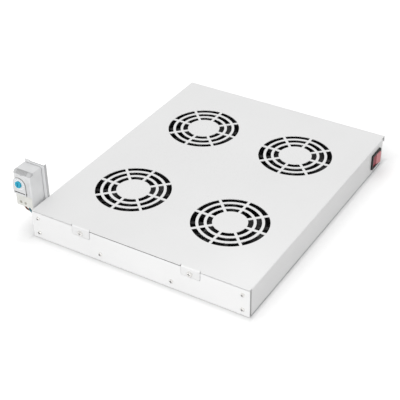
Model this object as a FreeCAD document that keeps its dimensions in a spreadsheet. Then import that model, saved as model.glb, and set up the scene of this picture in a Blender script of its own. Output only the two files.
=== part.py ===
"""Rack fan tray: a 1U sheet-metal tray with four axial fans, a rocker switch, an inlet and a thermostat.

Millimetres, +Z up, +Y to the rear. The origin is the middle of the underside.
"""
import FreeCAD, Part
import math
import os
import types

import Sketcher

Vector = FreeCAD.Vector
Rotation = FreeCAD.Rotation
Placement = FreeCAD.Placement

SIZES = {
    # folded sheet
    "tray_width": 350,
    "tray_depth": 430,
    "tray_height": 45,
    "sheet": 1,
    "bend_outside": 2,
    "bend_inside": 0.8,
    "corner_relief": 4.5,
    "rear_overhang": 6.5,
    "lip_height": 10,
    "top_set_in": 1,
    "foot_flange": 12,
    "return_width": 22,
    "return_low": 3.2,
    "return_high": 43,
    # front panel and the two tabs of the cover
    "panel_side_gap": 0.6,
    "panel_top_gap": 0.9,
    "panel_foot": 0.4,
    "tab_offset": 88,
    "tab_shift": -2,
    "tab_width": 29,
    "tab_depth": 15,
    "tab_corner": 3,
    "tab_left_gap": 0.25,
    "tab_right_gap": 0.9,
    "tab_foot_gap": 0.3,
    "tab_relief": 2.4,
    "base_side_gap": 2.5,
    # slotted grilles over and under the fans
    "grille_pitch_x": 160,
    "grille_pitch_y": 196,
    "grille_shift": -2.5,
    "first_slot_radius": 24.8,
    "slot_width": 7.5,
    "slot_pitch": 11.5,
    "spoke_width": 3.9,
    # fans
    "fan_side": 119.5,
    "fan_height": 38,
    "fan_corner": 5,
    "fan_flange": 4.5,
    "fan_hole_pitch": 105,
    "fan_hole_radius": 2.2,
    "duct_radius": 57.7,
    "duct_wall": 1.7,
    "motor_plate_radius": 31,
    "motor_plate": 3.5,
    "strut_width": 6,
    "tube_wall": 2,
    "tube_foot": 12,
    "shaft_radius": 2,
    "running_gap": 0.03,
    "bearing_radius": 5,
    "bearing_height": 4,
    "seat_gap": 0.05,
    "hub_radius": 31.5,
    "hub_wall": 2.5,
    "hub_foot": 6,
    "motor_gap": 1.5,
    "tip_gap": 1.2,
    "stator_height": 14,
    "stator_core": 6,
    "blade_thickness": 1.8,
    "blade_camber": 3.2,
    "blade_root_chord": 32,
    "blade_middle_chord": 37,
    "blade_tip_chord": 43,
    # fasteners
    "small_screw_radius": 1.5,
    "small_head_radius": 3,
    "small_head_height": 2.2,
    "large_screw_radius": 2,
    "large_head_radius": 4,
    "large_head_height": 2.4,
    "screw_length": 8,
    "screw_clearance": 0.15,
    "small_nut_radius": 3,
    "large_nut_radius": 4,
    "nut_height": 3,
    "side_screw_inset": 11,
    "side_screw_low": 10,
    "side_screw_pitch": 24,
    "middle_screw_pitch": 115,
    "middle_screw_shift": -1.3,
    "middle_screw_level": 12,
    "tab_screw_shift": -0.8,
    "tab_screw_drop": 9.4,
    "base_screw_inset": 7.5,
    "base_screw_pitch": 150,
    # rocker switch in the right wall
    "switch_y": 180,
    "switch_z": 22.5,
    "bezel_length": 31,
    "bezel_height": 25.5,
    "bezel_depth": 2.5,
    "switch_body_length": 28,
    "switch_body_height": 20.8,
    "switch_body_depth": 25,
    "switch_cavity_depth": 18,
    "rocker_half_length": 11.5,
    "rocker_height": 18.2,
    "rocker_side_gap": 1.3,
    "rocker_end_rise": 6.4,
    "rocker_middle_rise": 5,
    "rocker_pivot_depth": 3,
    "trunnion_radius": 1.5,
    "switch_blade_width": 6.3,
    "switch_blade_length": 9,
    # appliance inlet in the rear wall
    "inlet_x": -120,
    "inlet_z": 22,
    "inlet_flange_width": 50,
    "inlet_flange_height": 22.5,
    "inlet_flange": 3,
    "inlet_body_width": 27.5,
    "inlet_body_height": 20,
    "inlet_body_depth": 20,
    "inlet_mouth_width": 24.4,
    "inlet_mouth_height": 16.8,
    "inlet_mouth_depth": 16,
    "inlet_screw_pitch": 40,
    "pin_width": 2,
    "pin_height": 4,
    "pin_pitch": 7,
    # terminal strip between the fans
    "strip_length": 38,
    "strip_width": 16,
    "strip_height": 13,
    "strip_pitch": 6,
    "strip_entry_height": 6,
    # thermostat, its rail and its bracket beside the left wall
    "thermostat_gap": 5,
    "thermostat_width": 29.5,
    "thermostat_front": -205,
    "thermostat_depth": 26,
    "thermostat_foot": 36.5,
    "thermostat_height": 57.5,
    "nose_half_width": 11.3,
    "nose_depth": 7,
    "nose_foot": 60,
    "arch_drop": 1.2,
    "nose_slot_width": 19,
    "nose_slot_height": 1.4,
    "roof_slope_depth": 4,
    "roof_slope_height": 3.5,
    "dial_height": 79.5,
    "dial_radius": 5.2,
    "dial_depth": 3,
    "dial_spindle": 2,
    "thermostat_slot": 1.5,
    "cheek": 0.8,
    "block_height": 19.5,
    "block_depth": 13,
    "block_corner": 2.5,
    "entry_pitch": 8.2,
    "entry_shift": 2.4,
    "entry_level": 7,
    "rail_height": 35,
    "rail_depth": 7.5,
    "rail_web": 25,
    "rail_sheet": 1,
    "rail_level": 72,
    "rail_sunk": 6.5,
    "recess_wall": 2,
    "hook": 1.5,
    "hook_gap": 0.3,
    "bracket_top": 97.2,
    "bracket_bump_width": 9,
    "bracket_bump": 1.4,
    "bracket_width": 34,
    "bracket_flange": 3.8,
    "bracket_leg": 28,
    "bracket_leg_low": 9,
    "bracket_leg_high": 40,
    "bracket_screw_pitch": 18,
    # leads and grommet
    "grommet_y": -190,
    "grommet_z": 25,
    "grommet_radius": 5.8,
    "grommet_rim": 1.5,
    "lead_hole_radius": 3.6,
    "grommet_wire_pitch": 3.6,
    "wire_diameter": 2.5,
    "fan_lead_diameter": 2.4,
    "lead_diameter": 3.6,
}

SLOT_RINGS = 3
SPOKES = 8
BLADES = 7
STRUTS = 4
STRUT_START = 22.5
NOSE_TAPER = 12.0
BLADE_PITCH = {"root": 44.0, "middle": 37.0, "tip": 32.0}
ROCKER_REST_TILT = -10.0
CUT_MARGIN = 1.0
TOLERANCE = 1e-4
PLANE_NORMAL = {"XY_Plane": 1, "XZ_Plane": -1, "YZ_Plane": 1}
SKETCH_ORIGIN = -1
START = 1
END = 2
CENTRE = 3


class Size:
    """A length that remembers the spreadsheet formula it is worked out by."""

    def __init__(self, value, formula):
        self.value = float(value)
        self.formula = formula

    def __float__(self):
        return self.value

    def __add__(self, other):
        other = as_size(other)
        return Size(self.value + other.value, f"({self.formula} + {other.formula})")

    def __sub__(self, other):
        other = as_size(other)
        return Size(self.value - other.value, f"({self.formula} - {other.formula})")

    def __mul__(self, other):
        other = as_size(other)
        return Size(self.value * other.value, f"({self.formula} * {other.formula})")

    def __truediv__(self, other):
        other = as_size(other)
        return Size(self.value / other.value, f"({self.formula} / {other.formula})")

    def __rsub__(self, other):
        return as_size(other) - self

    def __neg__(self):
        return self * -1

    __radd__ = __add__
    __rmul__ = __mul__


def as_size(amount):
    """Any number as a Size."""
    return amount if isinstance(amount, Size) else Size(amount, f"{float(amount):.6f}")


doc = FreeCAD.newDocument("FanTray")
sheet = doc.addObject("Spreadsheet::Sheet", "Sizes")
for row, (alias, number) in enumerate(SIZES.items(), start=1):
    sheet.set(f"A{row}", str(number))
    sheet.setAlias(f"A{row}", alias)
doc.recompute()
s = types.SimpleNamespace(**{alias: Size(number, f"Sizes.{alias}") for alias, number in SIZES.items()})

pieces = []
cuts = []


# ---------------------------------------------------------------- modelling helpers

def bind(thing, path, amount):
    """Drive one property of an object by the spreadsheet."""
    thing.setExpression(path, as_size(amount).formula)


def new_body(label):
    """A named sub-part, made as a PartDesign body."""
    body = doc.addObject("PartDesign::Body", "Body")
    body.Label = label
    body.AllowCompound = True
    pieces.append(body)
    return body


def origin_part(body, role):
    """One of the body's own origin planes or axes."""
    return next(feature for feature in body.Origin.OriginFeatures if feature.Role == role)


def place(body, x, y, z, turn=0.0, axis=Vector(0, 0, 1)):
    """Put a body, turned about its own origin, at a place of the tray."""
    body.Placement = Placement(Vector(float(x), float(y), float(z)), Rotation(axis, turn))
    for name, amount in zip("xyz", (x, y, z)):
        bind(body, f"Placement.Base.{name}", amount)


def new_sketch(body, plane, level, centre=(0, 0)):
    """A sketch parallel to an origin plane, at a level of that plane's world axis."""
    sketch = body.newObject("Sketcher::SketchObject", "Sketch")
    sketch.AttachmentSupport = [(origin_part(body, plane), "")]
    sketch.MapMode = "FlatFace"
    offsets = (centre[0], centre[1], as_size(level) * PLANE_NORMAL[plane])
    sketch.AttachmentOffset = Placement(Vector(*[float(offset) for offset in offsets]), Rotation())
    for name, offset in zip("xyz", offsets):
        bind(sketch, f"AttachmentOffset.Base.{name}", offset)
    return sketch


def fix_point(sketch, geometry, point, place_xy):
    """Hold one point of a sketch at a place given by formulas."""
    for kind, amount in zip(("DistanceX", "DistanceY"), place_xy):
        rule = Sketcher.Constraint(kind, SKETCH_ORIGIN, START, geometry, point, float(amount))
        index = sketch.addConstraint(rule)
        bind(sketch, f"Constraints[{index}]", amount)


def polygon(sketch, points):
    """A closed outline of straight lines."""
    first = sketch.GeometryCount
    count = len(points)
    corners = [Vector(float(x), float(y), 0) for x, y in points]
    for i in range(count):
        sketch.addGeometry(Part.LineSegment(corners[i], corners[(i + 1) % count]))
    for i, point in enumerate(points):
        following = first + (i + 1) % count
        sketch.addConstraint(Sketcher.Constraint("Coincident", first + i, END, following, START))
        fix_point(sketch, first + i, START, point)


def disc(x, y, radius):
    """A round outline: centre and radius."""
    return ("disc", x, y, radius)


def rectangle(low_x, high_x, low_y, high_y):
    """A rectangular outline between two corners."""
    return [(low_x, low_y), (high_x, low_y), (high_x, high_y), (low_x, high_y)]


def draw(sketch, outline):
    """Add a polygon or a disc to a sketch."""
    if outline[0] != "disc":
        polygon(sketch, outline)
        return
    centre = (outline[1], outline[2])
    radius = outline[3]
    middle = Vector(float(centre[0]), float(centre[1]), 0)
    index = sketch.addGeometry(Part.Circle(middle, Vector(0, 0, 1), float(radius)))
    rule = sketch.addConstraint(Sketcher.Constraint("Radius", index, float(radius)))
    bind(sketch, f"Constraints[{rule}]", radius)
    fix_point(sketch, index, CENTRE, centre)


def extrude(body, plane, start, end, outlines, cut=False, taper=0.0):
    """Pad or pocket outlines between two levels of the world axis that the plane faces."""
    sketch = new_sketch(body, plane, start)
    for outline in outlines:
        draw(sketch, outline)
    feature = body.newObject("PartDesign::Pocket" if cut else "PartDesign::Pad", "Extrusion")
    feature.Profile = sketch
    bind(feature, "Length", as_size(end) - start)
    feature.Reversed = (PLANE_NORMAL[plane] < 0) != cut
    feature.TaperAngle = taper
    sketch.Visibility = False
    if cut:
        cuts.append(feature)
    return feature


def revolve(body, axis, at, profiles, cut=False):
    """Turn (radius, position) profiles about a line parallel to a world axis.

    at is the line's place on the two other axes, in X, Y, Z order.
    """
    if axis == "z":
        sketch = new_sketch(body, "XZ_Plane", at[1], (at[0], 0))
    elif axis == "y":
        sketch = new_sketch(body, "XY_Plane", at[1], (at[0], 0))
    else:
        sketch = new_sketch(body, "XY_Plane", at[1], (0, at[0]))
    for profile in profiles:
        if axis == "x":
            profile = [(position, radius) for radius, position in profile]
        polygon(sketch, profile)
    feature = body.newObject("PartDesign::Groove" if cut else "PartDesign::Revolution", "Turned")
    feature.Profile = sketch
    feature.ReferenceAxis = (sketch, ["H_Axis" if axis == "x" else "V_Axis"])
    feature.Angle = 360
    if cut:
        cuts.append(feature)
    return feature


def repeat(body, originals, rows, ring=None):
    """Copy features in rows of (axis, pitch, count), and first in a ring of (sketch, count)."""
    copies = body.newObject("PartDesign::MultiTransform", "Copies")
    copies.Originals = originals
    steps = []
    if ring:
        step = doc.addObject("PartDesign::PolarPattern", "Ring")
        step.Axis = (ring[0], ["N_Axis"])
        step.Angle = 360
        step.Occurrences = ring[1]
        steps.append(step)
    for axis, pitch, count in rows:
        step = doc.addObject("PartDesign::LinearPattern", "Row")
        step.Direction = (origin_part(body, f"{axis.upper()}_Axis"), [""])
        bind(step, "Length", as_size(pitch) * (count - 1))
        step.Occurrences = count
        steps.append(step)
    copies.Transformations = steps
    body.Tip = copies
    return copies


def round_edges(body, radius, wanted):
    """Fillet the edges of the body so far that the test picks."""
    doc.recompute()
    tip = body.Tip
    names = [f"Edge{i}" for i, edge in enumerate(tip.Shape.Edges, start=1) if wanted(edge)]
    if not names:
        raise RuntimeError(f"{body.Label}: no edge to round")
    fillet = body.newObject("PartDesign::Fillet", "Fillet")
    fillet.Base = (tip, names)
    bind(fillet, "Radius", radius)
    return fillet


def along(axis, spots, low=-1e6, high=1e6):
    """A test for straight edges along an axis, at (first, second) places of the two other axes."""
    def wanted(edge):
        box = edge.BoundBox
        spans = {"x": (box.XMin, box.XMax), "y": (box.YMin, box.YMax), "z": (box.ZMin, box.ZMax)}
        start, end = spans.pop(axis)
        if end - start < 10 * TOLERANCE or start < float(low) - TOLERANCE or end > float(high) + TOLERANCE:
            return False
        if any(last - first > TOLERANCE for first, last in spans.values()):
            return False
        here = [first for first, last in spans.values()]
        return any(all(abs(a - float(b)) < 10 * TOLERANCE for a, b in zip(here, spot)) for spot in spots)
    return wanted


def chamfered_rod(radius, low, high, edge=0.3):
    """The (radius, position) profile of a plain rod with a small chamfer at its high end."""
    return [(0, low), (radius, low), (radius, high - edge), (radius - edge, high), (0, high)]


# ---------------------------------------------------------------- places that several pieces share

half_width = s.tray_width / 2
front_face = -s.tray_depth / 2
rear_edge = s.tray_depth / 2
panel_back = front_face + s.sheet
flange_back = panel_back + s.sheet
rear_face = rear_edge - s.rear_overhang
rear_wall_front = rear_face - s.sheet
wall_start = front_face + s.corner_relief
wall_end = rear_face - s.corner_relief
cover_under = s.tray_height - s.sheet
wall_inside = half_width - s.sheet
panel_half = half_width - s.panel_side_gap
base_half = half_width - s.base_side_gap
panel_top = cover_under - s.panel_top_gap
flange_top = panel_top - s.panel_top_gap
side_screw_x = half_width - s.side_screw_inset
tab_foot = s.tray_height - s.tab_depth
tab_middles = (s.tab_shift - s.tab_offset, s.tab_shift + s.tab_offset)
tab_screw_places = [middle + s.tab_screw_shift for middle in tab_middles]
tab_screw_z = s.tray_height - s.tab_screw_drop
middle_screw_places = [s.middle_screw_shift + side * s.middle_screw_pitch / 2 for side in (-1, 1)]
base_screw_x = half_width - s.base_screw_inset
grille_centre = (-s.grille_pitch_x / 2, s.grille_shift - s.grille_pitch_y / 2)


# ---------------------------------------------------------------- folded sheet

def cut_grilles(body, low, high):
    """Cut the four rings-and-spokes grilles through a sheet between two levels."""
    sketch = new_sketch(body, "XY_Plane", low, grille_centre)
    sector = 2 * math.pi / SPOKES
    half_spoke = s.spoke_width / 2
    for ring in range(SLOT_RINGS):
        inner = s.first_slot_radius + s.slot_pitch * ring
        outer = inner + s.slot_width
        arcs = []
        ends = []
        for radius in (inner, outer):
            lean = math.asin(float(half_spoke) / float(radius))
            circle = Part.Circle(Vector(0, 0, 0), Vector(0, 0, 1), float(radius))
            arcs.append(sketch.addGeometry(Part.ArcOfCircle(circle, lean, sector - lean)))
            ends.append([Vector(math.cos(a), math.sin(a), 0) * float(radius) for a in (lean, sector - lean)])
        sides = [sketch.addGeometry(Part.LineSegment(ends[0][i], ends[1][i])) for i in (0, 1)]
        for arc, radius in zip(arcs, (inner, outer)):
            sketch.addConstraint(Sketcher.Constraint("Coincident", arc, CENTRE, SKETCH_ORIGIN, START))
            rule = sketch.addConstraint(Sketcher.Constraint("Radius", arc, float(radius)))
            bind(sketch, f"Constraints[{rule}]", radius)
        for side, arc_end in zip(sides, (START, END)):
            sketch.addConstraint(Sketcher.Constraint("Coincident", side, START, arcs[0], arc_end))
            sketch.addConstraint(Sketcher.Constraint("Coincident", side, END, arcs[1], arc_end))
            rule = Sketcher.Constraint("Distance", SKETCH_ORIGIN, START, side, float(half_spoke))
            bind(sketch, f"Constraints[{sketch.addConstraint(rule)}]", half_spoke)
        sketch.addConstraint(Sketcher.Constraint("Horizontal", sides[0]))
        sketch.addConstraint(Sketcher.Constraint("Angle", sides[1], sector))
    pocket = body.newObject("PartDesign::Pocket", "Slots")
    pocket.Profile = sketch
    bind(pocket, "Length", as_size(high) - low)
    pocket.Reversed = True
    cuts.append(pocket)
    rows = [("x", s.grille_pitch_x, 2), ("y", s.grille_pitch_y, 2)]
    repeat(body, [pocket], rows, ring=(sketch, SPOKES))


def pair(amount):
    """A place and its mirror image."""
    return (-amount, amount)


def make_top_cover():
    """Top sheet, side walls with returns, foot flanges, front tabs and rear lip, in one folded sheet."""
    body = new_body("top_cover")
    foot = s.sheet
    inner_foot = foot + s.sheet
    flange_edge = half_width - s.foot_flange
    extrude(body, "XZ_Plane", wall_start, wall_end, [[
        (-half_width, foot), (-half_width, s.tray_height), (half_width, s.tray_height), (half_width, foot),
        (flange_edge, foot), (flange_edge, inner_foot), (wall_inside, inner_foot), (wall_inside, cover_under),
        (-wall_inside, cover_under), (-wall_inside, inner_foot), (-flange_edge, inner_foot),
        (-flange_edge, foot)]])
    outside = [(x, z) for x in pair(half_width) for z in (foot, s.tray_height)]
    inside = [(x, z) for x in pair(wall_inside) for z in (inner_foot, cover_under)]
    round_edges(body, s.bend_outside, along("y", outside))
    round_edges(body, s.bend_inside, along("y", inside))

    return_edge = half_width - s.return_width
    outlines = []
    for side in (-1, 1):
        outlines.append([(side * x, y) for x, y in (
            (half_width, panel_back), (half_width, rear_wall_front), (return_edge, rear_wall_front),
            (return_edge, rear_wall_front - s.sheet), (wall_inside, rear_wall_front - s.sheet),
            (wall_inside, flange_back), (return_edge, flange_back), (return_edge, panel_back))])
    extrude(body, "XY_Plane", s.return_low, s.return_high, outlines)
    outside = [(x, y) for x in pair(half_width) for y in (panel_back, rear_wall_front)]
    inside = [(x, y) for x in pair(wall_inside) for y in (flange_back, rear_wall_front - s.sheet)]
    round_edges(body, s.bend_outside, along("z", outside))
    round_edges(body, s.bend_inside, along("z", inside))

    top_half = half_width - s.top_set_in
    extrude(body, "XY_Plane", cover_under, s.tray_height, [
        rectangle(-top_half, top_half, front_face, wall_start),
        rectangle(-top_half, top_half, wall_end, rear_edge)])
    extrude(body, "XZ_Plane", rear_edge - s.sheet, rear_edge, [
        rectangle(-top_half, top_half, s.tray_height - s.lip_height, s.tray_height)])
    round_edges(body, s.bend_outside, along("x", [(rear_edge, s.tray_height)]))
    round_edges(body, s.bend_inside, along("x", [(rear_edge - s.sheet, cover_under)]))

    tab_edges = []
    reliefs = []
    for middle in tab_middles:
        low = middle - s.tab_width / 2
        high = middle + s.tab_width / 2
        tab_edges.append((low, high))
        for start, end in ((low - s.tab_right_gap, low), (high, high + s.tab_right_gap)):
            reliefs.append(rectangle(start, end, front_face - CUT_MARGIN, front_face + s.tab_relief))
    extrude(body, "XY_Plane", cover_under - CUT_MARGIN, s.tray_height + CUT_MARGIN, reliefs, cut=True)
    extrude(body, "XZ_Plane", front_face, panel_back,
            [rectangle(low, high, tab_foot, s.tray_height) for low, high in tab_edges])
    corners = [(x, tab_foot) for edges in tab_edges for x in edges]
    round_edges(body, s.tab_corner, along("y", corners, front_face, panel_back))
    bends = ((s.bend_outside, (front_face, s.tray_height)), (s.bend_inside, (panel_back, cover_under)))
    for radius, spot in bends:
        tests = [along("x", [spot], low, high) for low, high in tab_edges]
        round_edges(body, radius, lambda edge: any(test(edge) for test in tests))

    small_hole = s.small_screw_radius + s.screw_clearance
    large_hole = s.large_screw_radius + s.screw_clearance
    side_holes = [disc(x, z, small_hole) for x in pair(side_screw_x)
                  for z in (s.side_screw_low, s.side_screw_low + s.side_screw_pitch)]
    extrude(body, "XZ_Plane", front_face - CUT_MARGIN, flange_back + CUT_MARGIN, side_holes, cut=True)
    extrude(body, "XZ_Plane", rear_wall_front - 2 * s.sheet, rear_edge - s.sheet - CUT_MARGIN,
            side_holes, cut=True)
    extrude(body, "XZ_Plane", front_face - CUT_MARGIN, panel_back + CUT_MARGIN,
            [disc(x, tab_screw_z, large_hole) for x in tab_screw_places], cut=True)
    foot_holes = [disc(x, step * s.base_screw_pitch, small_hole) for x in pair(base_screw_x)
                  for step in (-1, 0, 1)]
    extrude(body, "XY_Plane", 0, inner_foot + CUT_MARGIN, foot_holes, cut=True)
    half_length = s.switch_body_length / 2 + s.seat_gap
    half_height = s.switch_body_height / 2 + s.seat_gap
    extrude(body, "YZ_Plane", wall_inside - CUT_MARGIN, half_width + CUT_MARGIN, [
        rectangle(s.switch_y - half_length, s.switch_y + half_length,
                  s.switch_z - half_height, s.switch_z + half_height)], cut=True)
    bracket_holes = [disc(bracket_screw_y, z, large_hole) for z in bracket_screw_levels]
    extrude(body, "YZ_Plane", -half_width - CUT_MARGIN, -wall_inside + CUT_MARGIN,
            bracket_holes + [disc(s.grommet_y, s.grommet_z, s.grommet_radius)], cut=True)
    cut_grilles(body, cover_under - CUT_MARGIN, s.tray_height + CUT_MARGIN)


def make_front_panel():
    """The flat front plate with the two notches that the cover's tabs sit in."""
    body = new_body("front_panel")
    notch_foot = tab_foot - s.tab_foot_gap
    outline = [(-panel_half, s.panel_foot), (panel_half, s.panel_foot), (panel_half, panel_top)]
    for middle in reversed(tab_middles):
        low = middle - s.tab_width / 2 - s.tab_left_gap
        high = middle + s.tab_width / 2 + s.tab_right_gap
        outline += [(high, panel_top), (high, notch_foot), (low, notch_foot), (low, panel_top)]
    outline.append((-panel_half, panel_top))
    extrude(body, "XZ_Plane", front_face, panel_back, [outline])
    corners = [(x, z) for x, z in outline if abs(float(z) - float(notch_foot)) < TOLERANCE]
    round_edges(body, s.tab_corner, along("y", corners))
    hole = s.small_screw_radius + s.screw_clearance
    holes = [disc(x, z, hole) for x in pair(side_screw_x)
             for z in (s.side_screw_low, s.side_screw_low + s.side_screw_pitch)]
    holes += [disc(x, s.middle_screw_level, hole) for x in middle_screw_places]
    extrude(body, "XZ_Plane", front_face - CUT_MARGIN, panel_back + CUT_MARGIN, holes, cut=True)


def make_base_tray():
    """Bottom plate with its front flange and rear wall, in one folded sheet."""
    body = new_body("base_tray")
    extrude(body, "YZ_Plane", -base_half, base_half, [[
        (panel_back, 0), (rear_face, 0), (rear_face, flange_top), (rear_wall_front, flange_top),
        (rear_wall_front, s.sheet), (flange_back, s.sheet), (flange_back, flange_top),
        (panel_back, flange_top)]])
    round_edges(body, s.bend_outside, along("x", [(panel_back, 0), (rear_face, 0)]))
    round_edges(body, s.bend_inside, along("x", [(flange_back, s.sheet), (rear_wall_front, s.sheet)]))
    plate_half = half_width - s.seat_gap
    extrude(body, "XY_Plane", 0, s.sheet, [rectangle(-plate_half, plate_half, wall_start, wall_end)])
    flange_half = half_width - s.return_width - s.panel_top_gap
    relief_low = s.return_low - s.panel_top_gap
    extrude(body, "XZ_Plane", panel_back - CUT_MARGIN, flange_back + CUT_MARGIN, [
        rectangle(-half_width, -flange_half, relief_low, s.tray_height),
        rectangle(flange_half, half_width, relief_low, s.tray_height)], cut=True)

    small_hole = s.small_screw_radius + s.screw_clearance
    large_hole = s.large_screw_radius + s.screw_clearance
    extrude(body, "XZ_Plane", panel_back - CUT_MARGIN, flange_back + CUT_MARGIN,
            [disc(x, tab_screw_z, large_hole) for x in tab_screw_places]
            + [disc(x, s.middle_screw_level, small_hole) for x in middle_screw_places], cut=True)
    rear_holes = [disc(x, z, small_hole) for x in pair(side_screw_x)
                  for z in (s.side_screw_low, s.side_screw_low + s.side_screw_pitch)]
    rear_holes += [disc(s.inlet_x + x, s.inlet_z, small_hole) for x in pair(s.inlet_screw_pitch / 2)]
    opening_x = s.inlet_body_width / 2 + s.seat_gap
    opening_z = s.inlet_body_height / 2 + s.seat_gap
    rear_holes.append(rectangle(s.inlet_x - opening_x, s.inlet_x + opening_x,
                                s.inlet_z - opening_z, s.inlet_z + opening_z))
    extrude(body, "XZ_Plane", rear_wall_front - CUT_MARGIN, rear_face + CUT_MARGIN, rear_holes, cut=True)

    sink = revolve(body, "z", (-base_screw_x, -s.base_screw_pitch),
                   [countersunk(s.screw_clearance)], cut=True)
    repeat(body, [sink], [("x", base_screw_x * 2, 2), ("y", s.base_screw_pitch, 3)])
    first_hole = (grille_centre[0] - s.fan_hole_pitch / 2, grille_centre[1] - s.fan_hole_pitch / 2)
    hole = extrude(body, "XY_Plane", -CUT_MARGIN, s.sheet + CUT_MARGIN,
                   [disc(first_hole[0], first_hole[1], large_hole)], cut=True)
    repeat(body, [hole], fan_corner_rows())
    cut_grilles(body, -CUT_MARGIN, s.sheet + CUT_MARGIN)


def countersunk(clearance):
    """The (radius, height) profile of a flush screw head in the base plate."""
    rim = s.small_head_radius + clearance
    neck = s.small_screw_radius + clearance
    return [(0, 0), (rim, 0), (neck, s.sheet), (0, s.sheet)]


def fan_corner_rows():
    """The rows that take a fastener at one fan's first corner to every corner of the four fans."""
    return [("x", s.fan_hole_pitch, 2), ("y", s.fan_hole_pitch, 2),
            ("x", s.grille_pitch_x, 2), ("y", s.grille_pitch_y, 2)]


# ---------------------------------------------------------------- fans

def blade_section(body, radius, chord, pitch):
    """A thin cambered section across the blade, on the plane at one distance from the fan's axis."""
    sketch = new_sketch(body, "YZ_Plane", radius)
    run = math.cos(math.radians(pitch))
    rise = math.sin(math.radians(pitch))
    middle = (s.hub_foot + hub_top) / 2
    half = chord / 2
    skin = s.blade_thickness / 2
    bow = (half * half + s.blade_camber * s.blade_camber) / (s.blade_camber * 2)
    arcs = []
    corners = []
    for side in (-1, 1):
        nose = (half * run - skin * side * rise, middle + half * rise + skin * side * run)
        tail = (-half * run - skin * side * rise, middle - half * rise + skin * side * run)
        depth = float(s.blade_camber) - float(bow) + float(skin) * side
        centre = Vector(-depth * rise, float(middle) + depth * run, 0)
        circle = Part.Circle(centre, Vector(0, 0, 1), float(bow))
        angles = [math.atan2(float(p[1]) - centre.y, float(p[0]) - centre.x) for p in (nose, tail)]
        if angles[1] < angles[0]:
            angles[1] += 2 * math.pi
        arc = sketch.addGeometry(Part.ArcOfCircle(circle, angles[0], angles[1]))
        rule = sketch.addConstraint(Sketcher.Constraint("Radius", arc, float(bow)))
        bind(sketch, f"Constraints[{rule}]", bow)
        fix_point(sketch, arc, START, nose)
        fix_point(sketch, arc, END, tail)
        arcs.append(arc)
        corners.append((nose, tail))
    for which, end in enumerate((START, END)):
        points = [Vector(float(pair_of[which][0]), float(pair_of[which][1]), 0) for pair_of in corners]
        line = sketch.addGeometry(Part.LineSegment(*points))
        sketch.addConstraint(Sketcher.Constraint("Coincident", line, START, arcs[0], end))
        sketch.addConstraint(Sketcher.Constraint("Coincident", line, END, arcs[1], end))
    return sketch


motor_plate_low = s.fan_height - s.motor_plate
hub_top = motor_plate_low - s.motor_gap
tip_radius = s.duct_radius - s.tip_gap


def make_fans():
    """Four axial fans: the first is modelled, and the others are copies of its pieces."""
    originals = [make_fan_frame(), make_fan_rotor(), *make_fan_motor()]
    first_x, first_y = grille_centre
    number = 1
    for row_pitch in (0, s.grille_pitch_y):
        for column_pitch in (0, s.grille_pitch_x):
            for original in originals:
                if number == 1:
                    place(original, first_x, first_y, s.sheet)
                else:
                    copy = doc.addObject("Part::Compound", "Copy")
                    copy.Label = original.Label.replace("fan_1", f"fan_{number}")
                    copy.Links = [original]
                    pieces.append(copy)
                    place(copy, column_pitch, row_pitch, 0)
            number += 1


def make_fan_motor():
    """The shaft, the two bearings in the tube and the stator round it."""
    shaft = new_body("fan_1_shaft")
    revolve(shaft, "z", (0, 0), [chamfered_rod(s.shaft_radius, s.hub_foot, motor_plate_low - s.motor_gap)])

    bearings = new_body("fan_1_bearings")
    bore = s.shaft_radius + s.running_gap
    lower = s.tube_foot + s.motor_gap
    upper = motor_plate_low - s.motor_gap * 2 - s.bearing_height
    revolve(bearings, "z", (0, 0), [
        rectangle(bore, s.bearing_radius, low, low + s.bearing_height) for low in (lower, upper)])

    stator = new_body("fan_1_stator")
    tube_outside = s.bearing_radius + s.seat_gap + s.tube_wall
    core_radius = s.hub_radius - s.hub_wall - s.motor_gap
    coil_radius = core_radius - s.motor_plate
    middle = (s.tube_foot + motor_plate_low) / 2
    half = s.stator_height / 2
    core = s.stator_core / 2
    inside = tube_outside + s.seat_gap
    revolve(stator, "z", (0, 0), [[
        (inside, middle - half), (coil_radius, middle - half), (coil_radius, middle - core),
        (core_radius, middle - core), (core_radius, middle + core), (coil_radius, middle + core),
        (coil_radius, middle + half), (inside, middle + half)]])
    return shaft, bearings, stator


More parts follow.
